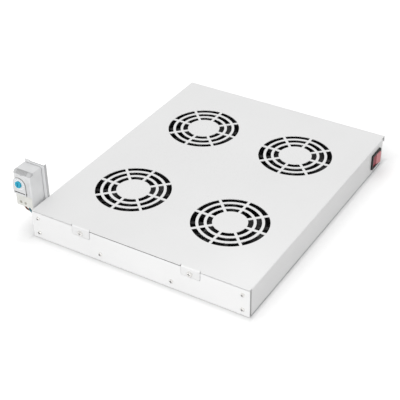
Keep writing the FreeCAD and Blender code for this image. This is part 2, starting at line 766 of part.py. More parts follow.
def make_fan_frame():
    """The cast frame: two square flanges on a round duct, struts, motor plate and bearing tube."""
    body = new_body("fan_1_frame")
    half = s.fan_side / 2
    square = rectangle(-half, half, -half, half)
    extrude(body, "XY_Plane", 0, s.fan_flange, [square])
    extrude(body, "XY_Plane", s.fan_height - s.fan_flange, s.fan_height, [square])
    corners = [(x, y) for x in pair(half) for y in pair(half)]
    round_edges(body, s.fan_corner, along("z", corners))
    extrude(body, "XY_Plane", 0, s.fan_height, [disc(0, 0, s.duct_radius + s.duct_wall)])
    extrude(body, "XY_Plane", -CUT_MARGIN, s.fan_height + CUT_MARGIN, [disc(0, 0, s.duct_radius)], cut=True)
    quarter = s.fan_hole_pitch / 2
    hole = extrude(body, "XY_Plane", -CUT_MARGIN, s.fan_height + CUT_MARGIN,
                   [disc(-quarter, -quarter, s.fan_hole_radius)], cut=True)
    repeat(body, [hole], [("x", s.fan_hole_pitch, 2), ("y", s.fan_hole_pitch, 2)])
    lean = math.radians(STRUT_START)
    reach = s.duct_radius + s.duct_wall / 2
    half_strut = s.strut_width / 2
    cosine = math.cos(lean)
    sine = math.sin(lean)
    level_strut = [(0, -half_strut), (reach, -half_strut), (reach, half_strut), (0, half_strut)]
    outline = [(length * cosine - across * sine, length * sine + across * cosine)
               for length, across in level_strut]
    strut = extrude(body, "XY_Plane", motor_plate_low, s.fan_height, [outline])
    repeat(body, [strut], [], ring=(strut.Profile[0], STRUTS))
    extrude(body, "XY_Plane", motor_plate_low, s.fan_height, [disc(0, 0, s.motor_plate_radius)])
    tube_inside = s.bearing_radius + s.seat_gap
    extrude(body, "XY_Plane", s.tube_foot, motor_plate_low + CUT_MARGIN,
            [disc(0, 0, tube_inside + s.tube_wall)])
    extrude(body, "XY_Plane", s.tube_foot - CUT_MARGIN, motor_plate_low, [disc(0, 0, tube_inside)], cut=True)
    return body


def make_fan_rotor():
    """The impeller: an outer-rotor hub with lofted blades that fan out in pitch."""
    body = new_body("fan_1_rotor")
    inside = s.hub_radius - s.hub_wall
    root = blade_section(body, inside - CUT_MARGIN, s.blade_root_chord, BLADE_PITCH["root"])
    middle = blade_section(body, (s.hub_radius + tip_radius) / 2, s.blade_middle_chord, BLADE_PITCH["middle"])
    tip = blade_section(body, tip_radius + s.tip_gap, s.blade_tip_chord, BLADE_PITCH["tip"])
    blade = body.newObject("PartDesign::AdditiveLoft", "Blade")
    blade.Profile = root
    blade.Sections = [middle, tip]
    blade.Ruled = False
    ring = body.newObject("PartDesign::PolarPattern", "Blades")
    ring.Originals = [blade]
    ring.Axis = (origin_part(body, "Z_Axis"), [""])
    ring.Angle = 360
    ring.Occurrences = BLADES
    body.Tip = ring
    extrude(body, "XY_Plane", -CUT_MARGIN, s.fan_height, [disc(0, 0, s.fan_side), disc(0, 0, tip_radius)],
            cut=True)
    hub_space = disc(0, 0, s.hub_radius - s.hub_wall / 2)
    extrude(body, "XY_Plane", -CUT_MARGIN, s.fan_height, [hub_space], cut=True)
    floor = s.hub_foot + s.hub_wall
    boss_radius = s.bearing_radius + CUT_MARGIN
    boss_top = s.tube_foot - CUT_MARGIN
    revolve(body, "z", (0, 0), [[
        (s.shaft_radius, s.hub_foot), (s.hub_radius - 2, s.hub_foot), (s.hub_radius, s.hub_foot + 2),
        (s.hub_radius, hub_top), (inside, hub_top), (inside, floor), (boss_radius, floor),
        (boss_radius, boss_top), (s.shaft_radius, boss_top)]])
    return body


# ---------------------------------------------------------------- fasteners

def pan_head(shank, head, head_height, face, outward, length):
    """The (radius, position) profile of a pan-head screw whose head sits on a face."""
    crown = face + head_height * outward
    edge = head_height / 3
    return [(0, crown), (head - edge, crown), (head, crown - edge * outward), (head, face),
            (shank, face), (shank, face - (length - 0.5) * outward), (shank - 0.5, face - length * outward),
            (0, face - length * outward)]


def small_pan_head(face, outward):
    """The profile of one of the small screws."""
    return pan_head(s.small_screw_radius, s.small_head_radius, s.small_head_height, face, outward,
                    s.screw_length)


def large_pan_head(face, outward):
    """The profile of one of the large screws."""
    return pan_head(s.large_screw_radius, s.large_head_radius, s.large_head_height, face, outward,
                    s.screw_length)


def ring_profile(bore, radius, low, high):
    """The (radius, position) profile of a round nut or washer."""
    return rectangle(bore, radius, low, high)


def make_fasteners():
    """Screws, clinch nuts and studs, each kind as one group of separate solids."""
    corner_rows = [("x", side_screw_x * 2, 2), ("z", s.side_screw_pitch, 2)]
    middle_rows = [("x", s.middle_screw_pitch, 2)]

    screws = new_body("front_panel_screws")
    first = revolve(screws, "y", (-side_screw_x, s.side_screw_low), [small_pan_head(front_face, -1)])
    repeat(screws, [first], corner_rows)
    middle_place = (middle_screw_places[0], s.middle_screw_level)
    first = revolve(screws, "y", middle_place, [small_pan_head(front_face, -1)])
    repeat(screws, [first], middle_rows)

    screws = new_body("rear_wall_screws")
    first = revolve(screws, "y", (-side_screw_x, s.side_screw_low), [small_pan_head(rear_face, 1)])
    repeat(screws, [first], corner_rows)

    screws = new_body("tab_screws")
    first = revolve(screws, "y", (tab_screw_places[0], tab_screw_z), [large_pan_head(front_face, -1)])
    repeat(screws, [first], [("x", s.tab_offset * 2, 2)])

    screws = new_body("base_screws")
    profile = [(0, 0), (s.small_head_radius, 0), (s.small_screw_radius, s.sheet),
               (s.small_screw_radius, s.screw_length - 0.5), (s.small_screw_radius - 0.5, s.screw_length),
               (0, s.screw_length)]
    first = revolve(screws, "z", (-base_screw_x, -s.base_screw_pitch), [profile])
    repeat(screws, [first], [("x", base_screw_x * 2, 2), ("y", s.base_screw_pitch, 3)])

    small_bore = s.small_screw_radius + s.seat_gap
    large_bore = s.large_screw_radius + s.seat_gap
    nuts = new_body("clinch_nuts")
    profile = ring_profile(small_bore, s.small_nut_radius, flange_back, flange_back + s.nut_height)
    first = revolve(nuts, "y", (-side_screw_x, s.side_screw_low), [profile])
    repeat(nuts, [first], corner_rows)
    first = revolve(nuts, "y", middle_place, [profile])
    repeat(nuts, [first], middle_rows)
    back = rear_wall_front - s.sheet
    first = revolve(nuts, "y", (-side_screw_x, s.side_screw_low),
                    [ring_profile(small_bore, s.small_nut_radius, back - s.nut_height, back)])
    repeat(nuts, [first], corner_rows)
    first = revolve(nuts, "z", (-base_screw_x, -s.base_screw_pitch),
                    [ring_profile(small_bore, s.small_nut_radius, s.sheet * 2, s.sheet * 2 + s.nut_height)])
    repeat(nuts, [first], [("x", base_screw_x * 2, 2), ("y", s.base_screw_pitch, 3)])

    nuts = new_body("tab_nuts")
    first = revolve(nuts, "y", (tab_screw_places[0], tab_screw_z),
                    [ring_profile(large_bore, s.large_nut_radius, flange_back, flange_back + s.nut_height)])
    repeat(nuts, [first], [("x", s.tab_offset * 2, 2)])

    corner = (grille_centre[0] - s.fan_hole_pitch / 2, grille_centre[1] - s.fan_hole_pitch / 2)
    studs = new_body("fan_studs")
    top = s.sheet + s.fan_flange + s.nut_height + CUT_MARGIN
    first = revolve(studs, "z", corner, [chamfered_rod(s.large_screw_radius, 0, top)])
    repeat(studs, [first], fan_corner_rows())
    nuts = new_body("fan_nuts")
    low = s.sheet + s.fan_flange
    profile = ring_profile(large_bore, s.large_nut_radius, low, low + s.nut_height)
    first = revolve(nuts, "z", corner, [profile])
    repeat(nuts, [first], fan_corner_rows())


# ---------------------------------------------------------------- rocker switch

def make_switch():
    """Bezel and housing, the rocker on its trunnions and the blade terminals."""
    housing = new_body("switch_housing")
    half_length = s.bezel_length / 2
    half_height = s.bezel_height / 2
    outer = half_width + s.bezel_depth
    extrude(housing, "YZ_Plane", half_width, outer, [
        rectangle(s.switch_y - half_length, s.switch_y + half_length,
                  s.switch_z - half_height, s.switch_z + half_height)])
    corners = [(s.switch_y + y, s.switch_z + z) for y in pair(half_length) for z in pair(half_height)]
    round_edges(housing, s.bend_outside, along("x", corners))
    extrude(housing, "YZ_Plane", half_width - s.switch_body_depth, half_width + s.bezel_depth / 2, [
        rectangle(s.switch_y - s.switch_body_length / 2, s.switch_y + s.switch_body_length / 2,
                  s.switch_z - s.switch_body_height / 2, s.switch_z + s.switch_body_height / 2)])
    cavity_length = s.rocker_half_length + s.rocker_side_gap
    cavity_height = s.rocker_height / 2 + s.rocker_side_gap / 4
    extrude(housing, "YZ_Plane", half_width - s.switch_cavity_depth, outer + CUT_MARGIN, [
        rectangle(s.switch_y - cavity_length, s.switch_y + cavity_length,
                  s.switch_z - cavity_height, s.switch_z + cavity_height)], cut=True)
    pivot_x = half_width - s.rocker_pivot_depth
    trunnion_reach = (s.switch_body_height / 2 + cavity_height) / 2
    extrude(housing, "XY_Plane", s.switch_z - trunnion_reach - s.seat_gap,
            s.switch_z + trunnion_reach + s.seat_gap,
            [disc(pivot_x, s.switch_y, s.trunnion_radius + s.seat_gap)], cut=True)

    rocker = new_body("switch_rocker")
    low_side = s.rocker_half_length
    extrude(rocker, "XY_Plane", -s.rocker_height / 2, s.rocker_height / 2, [[
        (s.rocker_middle_rise, 0), (s.rocker_end_rise, low_side), (0.5, low_side), (-4, low_side / 2),
        (-4, -low_side / 2), (0.5, -low_side), (s.rocker_end_rise, -low_side)]])
    round_edges(rocker, s.bend_inside, along("z", [(s.rocker_end_rise, y) for y in pair(low_side)]))
    extrude(rocker, "XY_Plane", -trunnion_reach, trunnion_reach, [disc(0, 0, s.trunnion_radius)])
    place(rocker, pivot_x, s.switch_y, s.switch_z, ROCKER_REST_TILT)

    blades = new_body("switch_terminals")
    back = half_width - s.switch_body_depth
    half_blade = s.switch_blade_width / 2
    low_y = s.switch_y - s.switch_body_length / 4
    high_y = s.switch_y + s.switch_body_length / 4
    outlines = []
    for y in (low_y, high_y):
        for z in (s.switch_z - s.switch_body_height / 4, s.switch_z + s.switch_body_height / 4):
            outlines.append(rectangle(y - half_blade, y + half_blade, z - 0.4, z + 0.4))
    extrude(blades, "YZ_Plane", back - s.switch_blade_length, back, outlines)


# ---------------------------------------------------------------- inlet and terminal strip

def make_inlet():
    """The three-pin appliance inlet in the rear wall, with its pins and screws."""
    body = new_body("inlet_socket")
    outer = rear_face + s.inlet_flange
    extrude(body, "XZ_Plane", rear_face, outer, [
        rectangle(s.inlet_x - s.inlet_flange_width / 2, s.inlet_x + s.inlet_flange_width / 2,
                  s.inlet_z - s.inlet_flange_height / 2, s.inlet_z + s.inlet_flange_height / 2)])
    corners = [(s.inlet_x + x, s.inlet_z + z) for x in pair(s.inlet_flange_width / 2)
               for z in pair(s.inlet_flange_height / 2)]
    round_edges(body, s.inlet_flange * 1.5, along("y", corners))
    back = rear_face - s.inlet_body_depth
    extrude(body, "XZ_Plane", back, rear_face + CUT_MARGIN, [
        rectangle(s.inlet_x - s.inlet_body_width / 2, s.inlet_x + s.inlet_body_width / 2,
                  s.inlet_z - s.inlet_body_height / 2, s.inlet_z + s.inlet_body_height / 2)])
    mouth_x = s.inlet_mouth_width / 2
    mouth_z = s.inlet_mouth_height / 2
    shoulder = s.pin_height + CUT_MARGIN
    extrude(body, "XZ_Plane", outer - s.inlet_mouth_depth, outer + CUT_MARGIN, [[
        (s.inlet_x - mouth_x, s.inlet_z - mouth_z), (s.inlet_x + mouth_x, s.inlet_z - mouth_z),
        (s.inlet_x + mouth_x, s.inlet_z + mouth_z - shoulder),
        (s.inlet_x + mouth_x - shoulder, s.inlet_z + mouth_z),
        (s.inlet_x - mouth_x + shoulder, s.inlet_z + mouth_z),
        (s.inlet_x - mouth_x, s.inlet_z + mouth_z - shoulder)]], cut=True)
    hole = s.small_screw_radius + s.screw_clearance
    extrude(body, "XZ_Plane", rear_face - CUT_MARGIN, outer + CUT_MARGIN,
            [disc(s.inlet_x + x, s.inlet_z, hole) for x in pair(s.inlet_screw_pitch / 2)], cut=True)

    pins = new_body("inlet_pins")
    floor = outer - s.inlet_mouth_depth
    half_pin = s.pin_width / 2
    outlines = []
    for x, z in ((-s.pin_pitch, -s.pin_width), (s.pin_pitch, -s.pin_width), (0 * s.pin_pitch, s.pin_width)):
        outlines.append(rectangle(s.inlet_x + x - half_pin, s.inlet_x + x + half_pin,
                                  s.inlet_z + z - s.pin_height / 2, s.inlet_z + z + s.pin_height / 2))
    extrude(pins, "XZ_Plane", floor, outer - s.pin_width, outlines)

    screws = new_body("inlet_screws")
    first = revolve(screws, "y", (s.inlet_x - s.inlet_screw_pitch / 2, s.inlet_z),
                    [pan_head(s.small_screw_radius, s.small_head_radius, s.sheet, outer, 1, s.screw_length)])
    repeat(screws, [first], [("x", s.inlet_screw_pitch, 2)])


def make_terminal_strip():
    """The strip that joins the leads, and its clamping screws."""
    strip = new_body("terminal_strip")
    low = s.sheet
    high = s.sheet + s.strip_height
    half = s.strip_width / 2
    middle = s.grille_shift
    extrude(strip, "YZ_Plane", -s.strip_length / 2, s.strip_length / 2, [[
        (middle - half, low), (middle + half, low), (middle + half, high - 4), (middle + half / 2, high),
        (middle - half / 2, high), (middle - half, high - 4)]])
    first_x = -s.strip_pitch * 2.5
    entry = s.lead_diameter / 2 + s.screw_clearance
    entries = extrude(strip, "XZ_Plane", middle - half - CUT_MARGIN, middle + half + CUT_MARGIN,
                      [disc(first_x, s.sheet + s.strip_entry_height, entry)], cut=True)
    wells = extrude(strip, "XY_Plane", s.sheet + s.strip_entry_height, high + CUT_MARGIN,
                    [disc(first_x, middle, s.large_screw_radius + s.screw_clearance)], cut=True)
    repeat(strip, [entries, wells], [("x", s.strip_pitch, 6)])

    screws = new_body("terminal_strip_screws")
    bottom = s.sheet + s.strip_entry_height + entry
    first = revolve(screws, "z", (first_x, middle), [chamfered_rod(s.large_screw_radius, bottom, high - 2)])
    repeat(screws, [first], [("x", s.strip_pitch, 6)])


# ---------------------------------------------------------------- thermostat

thermostat_right = -half_width - s.thermostat_gap
thermostat_left = thermostat_right - s.thermostat_width
thermostat_middle = thermostat_right - s.thermostat_width / 2
thermostat_back = s.thermostat_front + s.thermostat_depth
thermostat_top = s.thermostat_foot + s.thermostat_height
nose_front = s.thermostat_front - s.nose_depth
rail_front = thermostat_back - s.rail_sunk
rail_back = rail_front + s.rail_depth
bracket_back = rail_back + s.sheet
bracket_screw_y = bracket_back + s.bracket_leg * 0.6
bracket_leg_middle = (s.bracket_leg_low + s.bracket_leg_high) / 2
bracket_screw_levels = [bracket_leg_middle + z for z in pair(s.bracket_screw_pitch / 2)]
block_top = s.thermostat_foot + s.block_height
entry_places = [thermostat_middle - s.entry_shift + x for x in pair(s.entry_pitch / 2)]
entry_y = s.thermostat_front + s.block_depth / 2


def make_thermostat():
    """Housing with its nose and rail hook, dial, terminal block, rail, bracket and their fasteners."""
    housing = new_body("thermostat_housing")
    extrude(housing, "YZ_Plane", thermostat_left, thermostat_right, [[
        (s.thermostat_front, s.thermostat_foot), (thermostat_back, s.thermostat_foot),
        (thermostat_back, thermostat_top), (s.thermostat_front + s.roof_slope_depth, thermostat_top),
        (s.thermostat_front, thermostat_top - s.roof_slope_height)]])
    corners = [(x, s.thermostat_front) for x in (thermostat_left, thermostat_right)]
    round_edges(housing, s.bend_outside, along("z", corners))

    arch_sketch = new_sketch(housing, "XZ_Plane", s.thermostat_front + CUT_MARGIN, (thermostat_middle, 0))
    draw_arch(arch_sketch)
    nose = housing.newObject("PartDesign::Pad", "Nose")
    nose.Profile = arch_sketch
    bind(nose, "Length", s.nose_depth + CUT_MARGIN)
    nose.TaperAngle = -NOSE_TAPER
    spindle_floor = s.thermostat_front + s.nose_depth
    extrude(housing, "XZ_Plane", nose_front - CUT_MARGIN, spindle_floor,
            [disc(thermostat_middle, s.dial_height, s.dial_spindle + s.seat_gap)], cut=True)
    slot_level = s.nose_foot + s.thermostat_slot * 3
    slot_half = s.nose_slot_width / 2
    extrude(housing, "XZ_Plane", nose_front - CUT_MARGIN, nose_front + s.thermostat_slot, [
        rectangle(thermostat_middle - slot_half, thermostat_middle + slot_half,
                  slot_level, slot_level + s.nose_slot_height)], cut=True)

    block_back = s.thermostat_front + s.block_depth
    extrude(housing, "XZ_Plane", s.thermostat_front - CUT_MARGIN, block_back, [
        rectangle(thermostat_left + s.cheek, thermostat_right - s.cheek,
                  s.thermostat_foot - CUT_MARGIN, block_top)], cut=True)
    vent_start = thermostat_middle - s.nose_half_width * 0.9
    vent = extrude(housing, "XY_Plane", thermostat_top - s.roof_slope_height, thermostat_top + CUT_MARGIN, [
        rectangle(vent_start, vent_start + s.cheek, s.thermostat_front + s.cheek,
                  s.thermostat_front + s.roof_slope_depth * 2)], cut=True)
    repeat(housing, [vent], [("x", s.cheek * 3, 8)])

    half = s.rail_height / 2
    floor = rail_front - s.hook_gap
    ceiling = s.rail_level + half + s.hook_gap
    hook_front = rail_front + s.rail_sheet + s.hook_gap
    hook_foot = s.rail_level + half - s.hook
    recess_foot = s.rail_level - half - s.hook
    open_back = thermostat_back + CUT_MARGIN
    extrude(housing, "YZ_Plane", thermostat_left + s.recess_wall, thermostat_right - s.recess_wall, [[
        (open_back, recess_foot), (open_back, ceiling), (hook_front + s.hook, ceiling),
        (hook_front + s.hook, hook_foot), (hook_front, hook_foot), (hook_front, ceiling), (floor, ceiling),
        (floor, recess_foot)]], cut=True)
    latch_half = s.nose_half_width / 2
    groove_half = latch_half + s.seat_gap * 2
    extrude(housing, "YZ_Plane", thermostat_middle - groove_half, thermostat_middle + groove_half, [
        rectangle(floor, open_back, s.thermostat_foot - CUT_MARGIN, recess_foot + CUT_MARGIN)], cut=True)

    dial = new_body("thermostat_dial")
    face = nose_front - s.dial_depth
    seat = nose_front - s.seat_gap * 4
    spindle_end = spindle_floor - s.cheek
    revolve(dial, "y", (0, 0), [[
        (0, face), (s.dial_radius - s.cheek, face), (s.dial_radius, face + s.cheek), (s.dial_radius, seat),
        (s.dial_spindle, seat), (s.dial_spindle, spindle_end), (0, spindle_end)]])
    half_slot = s.thermostat_slot / 2
    extrude(dial, "XZ_Plane", face - CUT_MARGIN, face + s.thermostat_slot, [
        rectangle(-half_slot, half_slot, -s.dial_radius * 0.7, s.dial_radius * 0.7)], cut=True)
    place(dial, thermostat_middle, 0, s.dial_height)

    block = new_body("thermostat_terminals")
    gap = s.seat_gap
    extrude(block, "XY_Plane", s.thermostat_foot, block_top - gap, [
        rectangle(thermostat_left + s.cheek + gap, thermostat_right - s.cheek - gap,
                  s.thermostat_front, block_back - gap)])
    corners = [(s.thermostat_front, z) for z in (s.thermostat_foot, block_top - gap)]
    round_edges(block, s.block_corner, along("x", corners))
    well_level = s.thermostat_foot + s.entry_level
    extrude(block, "XZ_Plane", s.thermostat_front - CUT_MARGIN, s.thermostat_front + s.block_depth * 0.6,
            [disc(x, well_level, s.large_screw_radius + s.screw_clearance) for x in entry_places], cut=True)
    entry_end = s.thermostat_foot + s.block_height * 0.2
    extrude(block, "XY_Plane", s.thermostat_foot - CUT_MARGIN, entry_end,
            [disc(x, entry_y, s.wire_diameter / 2 + s.seat_gap * 2) for x in entry_places], cut=True)

    screws = new_body("thermostat_terminal_screws")
    head = s.thermostat_front + s.block_depth * 0.25
    foot = s.thermostat_front + s.block_depth * 0.6
    for x in entry_places:
        revolve(screws, "y", (x, well_level), [[
            (0, head), (s.large_screw_radius, head), (s.large_screw_radius, foot), (0, foot)]])

    latch = new_body("thermostat_latch")
    pull = s.thermostat_foot - s.hook
    nose_top = s.rail_level - half + s.hook
    latch_top = s.rail_level - half - s.hook_gap
    latch_front = floor + s.seat_gap
    extrude(latch, "YZ_Plane", thermostat_middle - latch_half, thermostat_middle + latch_half, [[
        (latch_front, pull), (thermostat_back, pull), (thermostat_back, latch_top),
        (hook_front + s.hook, latch_top), (hook_front + s.hook, nose_top), (hook_front, nose_top),
        (hook_front, latch_top), (latch_front, latch_top)]])

    rail = new_body("thermostat_rail")
    web = s.rail_web / 2
    t = s.rail_sheet
    outline = [(rail_front, half), (rail_front, web - t), (rail_back - t, web - t), (rail_back - t, -web + t),
               (rail_front, -web + t), (rail_front, -half), (rail_front + t, -half), (rail_front + t, -web),
               (rail_back, -web), (rail_back, web), (rail_front + t, web), (rail_front + t, half)]
    outline = [(y, s.rail_level + z) for y, z in outline]
    rail_inset = s.recess_wall + s.hook_gap
    extrude(rail, "YZ_Plane", thermostat_left + rail_inset, thermostat_right - rail_inset, [outline])
    rail_holes = [disc(thermostat_middle + x, s.rail_level, s.small_screw_radius + s.screw_clearance)
                  for x in pair(s.nose_half_width * 0.75)]
    extrude(rail, "XZ_Plane", rail_back - t - CUT_MARGIN, rail_back + CUT_MARGIN, rail_holes, cut=True)

    bracket = new_body("thermostat_bracket")
    wall_face = -half_width
    leg_face = wall_face - s.sheet
    plate_left = wall_face - s.bracket_width
    neck = wall_face - s.bracket_width / 4
    bump = s.bracket_top + s.bracket_bump
    bump_right = plate_left + s.bracket_bump_width
    extrude(bracket, "XZ_Plane", rail_back, bracket_back, [[
        (wall_face, s.bracket_leg_low), (wall_face, s.bracket_top), (bump_right, s.bracket_top),
        (bump_right, bump), (plate_left, bump), (plate_left, s.thermostat_foot),
        (neck, s.thermostat_foot), (neck, s.bracket_leg_low)]])
    screw_hole = s.large_screw_radius + s.screw_clearance
    flange_end = bracket_back + s.bracket_flange
    leg_end = bracket_back + s.bracket_leg
    extrude(bracket, "YZ_Plane", leg_face, wall_face, [[
        (rail_back, s.bracket_leg_low), (leg_end, s.bracket_leg_low), (leg_end, s.bracket_leg_high),
        (flange_end, s.bracket_leg_high), (flange_end, s.bracket_top), (rail_back, s.bracket_top)]])
    extrude(bracket, "XZ_Plane", rail_back - CUT_MARGIN, bracket_back + CUT_MARGIN, rail_holes, cut=True)
    extrude(bracket, "YZ_Plane", leg_face - CUT_MARGIN, wall_face + CUT_MARGIN,
            [disc(bracket_screw_y, z, screw_hole) for z in bracket_screw_levels], cut=True)

    rail_screws = new_body("rail_screws")
    for x in pair(s.nose_half_width * 0.75):
        revolve(rail_screws, "y", (thermostat_middle + x, s.rail_level), [
            pan_head(s.small_screw_radius, s.small_head_radius, s.small_head_height, rail_back - t, -1,
                     t + s.sheet + s.nut_height)])
    bracket_screws = new_body("bracket_screws")
    bracket_nuts = new_body("bracket_nuts")
    for z in bracket_screw_levels:
        revolve(bracket_screws, "x", (bracket_screw_y, z), [
            large_pan_head(leg_face, -1)])
        revolve(bracket_nuts, "x", (bracket_screw_y, z), [
            ring_profile(s.large_screw_radius + s.seat_gap, s.large_nut_radius, -wall_inside,
                         -wall_inside + s.nut_height)])


def draw_arch(sketch):
    """The outline of the thermostat's nose: straight sides under a round head."""
    half = s.nose_half_width + s.nose_depth * math.tan(math.radians(NOSE_TAPER))
    foot = s.nose_foot
    spring = s.dial_height - s.arch_drop
    circle = Part.Circle(Vector(0, float(spring), 0), Vector(0, 0, 1), float(half))
    arc = sketch.addGeometry(Part.ArcOfCircle(circle, 0, math.pi))
    corners = [(-half, spring), (-half, foot), (half, foot), (half, spring)]
    vectors = [Vector(float(x), float(y), 0) for x, y in corners]
    lines = [sketch.addGeometry(Part.LineSegment(vectors[i], vectors[i + 1])) for i in range(3)]
    sketch.addConstraint(Sketcher.Constraint("Coincident", arc, END, lines[0], START))
    sketch.addConstraint(Sketcher.Constraint("Coincident", lines[0], END, lines[1], START))
    sketch.addConstraint(Sketcher.Constraint("Coincident", lines[1], END, lines[2], START))
    sketch.addConstraint(Sketcher.Constraint("Coincident", lines[2], END, arc, START))
    rule = sketch.addConstraint(Sketcher.Constraint("Radius", arc, float(half)))
    bind(sketch, f"Constraints[{rule}]", half)
    fix_point(sketch, arc, CENTRE, (0, spring))
    fix_point(sketch, lines[0], END, corners[1])
    fix_point(sketch, lines[1], END, corners[2])
    for point in (START, END):
        rule = Sketcher.Constraint("DistanceY", SKETCH_ORIGIN, START, arc, point, float(spring))
        bind(sketch, f"Constraints[{sketch.addConstraint(rule)}]", spring)


# ---------------------------------------------------------------- leads

def lead(label, route, diameter):
    """A round lead along straight runs joined by tangent arcs, each as large as its runs allow."""
    points = [Vector(*[float(amount) for amount in point]) for point in route]
    edges = []
    radii = []
    here = points[0]
    for before, corner, after in zip(points, points[1:], points[2:]):
        come = corner - before
        go = after - corner
        turn = come.getAngle(go)
        reach = 0.45 * min(come.Length, go.Length)
        radii.append(reach / math.tan(turn / 2))
        arc_start = corner - Vector(come).normalize() * reach
        arc_end = corner + Vector(go).normalize() * reach
        bisector = (Vector(go).normalize() - Vector(come).normalize()).normalize()
        to_middle = radii[-1] / math.cos(turn / 2) - radii[-1]
        edges.append(Part.LineSegment(here, arc_start).toShape())
        edges.append(Part.Arc(arc_start, corner + bisector * to_middle, arc_end).toShape())
        here = arc_end
    edges.append(Part.LineSegment(here, points[-1]).toShape())
    path = Part.Wire(edges)
    section = Part.Wire([Part.Circle(points[0], points[1] - points[0], float(diameter) / 2).toShape()])
    shape = path.makePipeShell([section], True, False)
    expected = math.pi * (float(diameter) / 2) ** 2 * path.Length
    print(f"{label}: length {path.Length:.1f}, radii {min(radii):.1f} to {max(radii):.1f}, "
          f"volume ratio {shape.Volume / expected:.4f}")
    feature = doc.addObject("Part::Feature", "Lead")
    feature.Label = label
    feature.Shape = shape
    pieces.append(feature)


def make_leads():
    """The grommet, the two thermostat wires and the leads inside the tray."""
    grommet = new_body("wire_grommet")
    outside = s.grommet_radius + s.grommet_rim
    revolve(grommet, "x", (s.grommet_y, s.grommet_z), [[
        (s.lead_hole_radius, -half_width - s.grommet_rim), (outside, -half_width - s.grommet_rim),
        (outside, -half_width), (s.grommet_radius, -half_width), (s.grommet_radius, -wall_inside),
        (outside, -wall_inside), (outside, -wall_inside + s.grommet_rim),
        (s.lead_hole_radius, -wall_inside + s.grommet_rim)]])

    entry_top = s.thermostat_foot + s.block_height * 0.2
    strip_front = s.grille_shift - s.strip_width / 2
    strip_rear = s.grille_shift + s.strip_width / 2
    strip_level = s.sheet + s.strip_entry_height
    inside_end = [(-4.5, -150, 9), (-4, -110, 8.5), (-5, -68, 8.2), (-3.6, -32, 7.6),
                  (-s.strip_pitch / 2, strip_front, strip_level)]
    upper_level = s.grommet_z + s.grommet_wire_pitch / 2
    lower_level = s.grommet_z - s.grommet_wire_pitch / 2
    lead("thermostat_wire_brown", [
        (entry_places[0], entry_y, entry_top), (entry_places[0], entry_y, 33.4), (-198.6, -198.3, 28.8),
        (-194, -196.2, 25.5), (-188.6, -193.2, 25.8), (-183.4, -190.8, 26.5),
        (-178, s.grommet_y, upper_level), (-167, s.grommet_y, upper_level), (-155, -189.5, 22.5),
        (-140, -188, 16), (-120, -186, 11.5),
        (-88, -184.5, 9.5), (-46, -185, 9), (-14, -176, 9.3)] + inside_end, s.wire_diameter)
    inside_end = [(3.5, -151, 6.5), (4, -110, 7), (3, -68, 7.3), (3.4, -32, 7.3),
                  (s.strip_pitch / 2, strip_front, strip_level)]
    lead("thermostat_wire_blue", [
        (entry_places[1], entry_y, entry_top), (entry_places[1], entry_y, 33.4), (-191.1, -199.6, 28.4),
        (-187.2, -198.2, 24.6), (-182.6, -194.4, 22.9), (-177.4, s.grommet_y, lower_level),
        (-167, s.grommet_y, lower_level), (-155, -191, 17.5), (-140, -191.5, 11), (-120, -191, 7.5),
        (-88, -189.5, 6.5), (-44, -190, 6), (-8, -179, 6.2)] + inside_end, s.wire_diameter)

    reach = (s.duct_radius + s.duct_wall + s.seat_gap * 3) * math.sqrt(0.5)
    start_x = s.grille_pitch_x / 2 - reach
    start_y = s.grille_pitch_y / 2 - reach
    number = 0
    for side_y in (-1, 1):
        for side_x in (-1, 1):
            number += 1
            route = [(start_x, start_y, 15), (30, 47, 15.5), (21, 34.5, 12.5), (15.6, 21.5, 8.5)]
            route = [(side_x * x, s.grille_shift + side_y * y, z) for x, y, z in route]
            strip_face = strip_rear if side_y > 0 else strip_front
            route.append((side_x * s.strip_pitch * 2.5, strip_face, strip_level))
            lead(f"fan_{number}_lead", route, s.fan_lead_diameter)

    inlet_back = rear_face - s.inlet_body_depth
    lead("inlet_lead", [
        (s.inlet_x, inlet_back, s.inlet_z), (-118, 178, 21), (-108, 170, 16), (-86, 166, 10.5), (-48, 167, 8),
        (-16, 163, 8), (-5, 140, 8.2), (-4.6, 102, 8), (-5.6, 62, 7.8), (-3.6, 28, 7.4),
        (-s.strip_pitch / 2, strip_rear, strip_level)], s.lead_diameter)
    blade_tip = half_width - s.switch_body_depth - s.switch_blade_length
    lead("switch_lead", [
        (blade_tip, s.switch_y, s.switch_z), (131, 179.5, 21), (118, 175, 15.5), (94, 170, 10),
        (54, 169.5, 8),
        (20, 165, 8), (6, 143, 8), (5, 104, 8), (5.8, 63, 7.8), (3.6, 28, 7.4),
        (s.strip_pitch / 2, strip_rear, strip_level)], s.lead_diameter)


# ---------------------------------------------------------------- assembly

make_top_cover()
make_front_panel()
make_base_tray()
make_fans()
make_fasteners()
make_switch()
make_inlet()
make_terminal_strip()
make_thermostat()
make_leads()
doc.recompute()

for thing in doc.Objects:
    if "Invalid" in thing.State or "Error" in thing.State:
        owner = thing.getParentGeoFeatureGroup()
        raise RuntimeError(f"{thing.Name} of {owner.Label if owner else 'the tray'} failed: {thing.State}")
for cut_feature in cuts:
    if cut_feature.Shape.Volume >= cut_feature.BaseFeature.Shape.Volume - TOLERANCE:
        owner = cut_feature.getParentGeoFeatureGroup()
        raise RuntimeError(f"{cut_feature.Name} of {owner.Label} cuts nothing")
for piece in pieces:
    if piece.Shape.isNull() or not piece.Shape.isValid() or not piece.Shape.Solids:
        raise RuntimeError(f"{piece.Label} has no valid solid")

os.makedirs("parts", exist_ok=True)
for piece in pieces:
    piece.Shape.exportStep(f"parts/{piece.Label}.step")
print(f"{len(pieces)} sub-parts written")
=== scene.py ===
import math

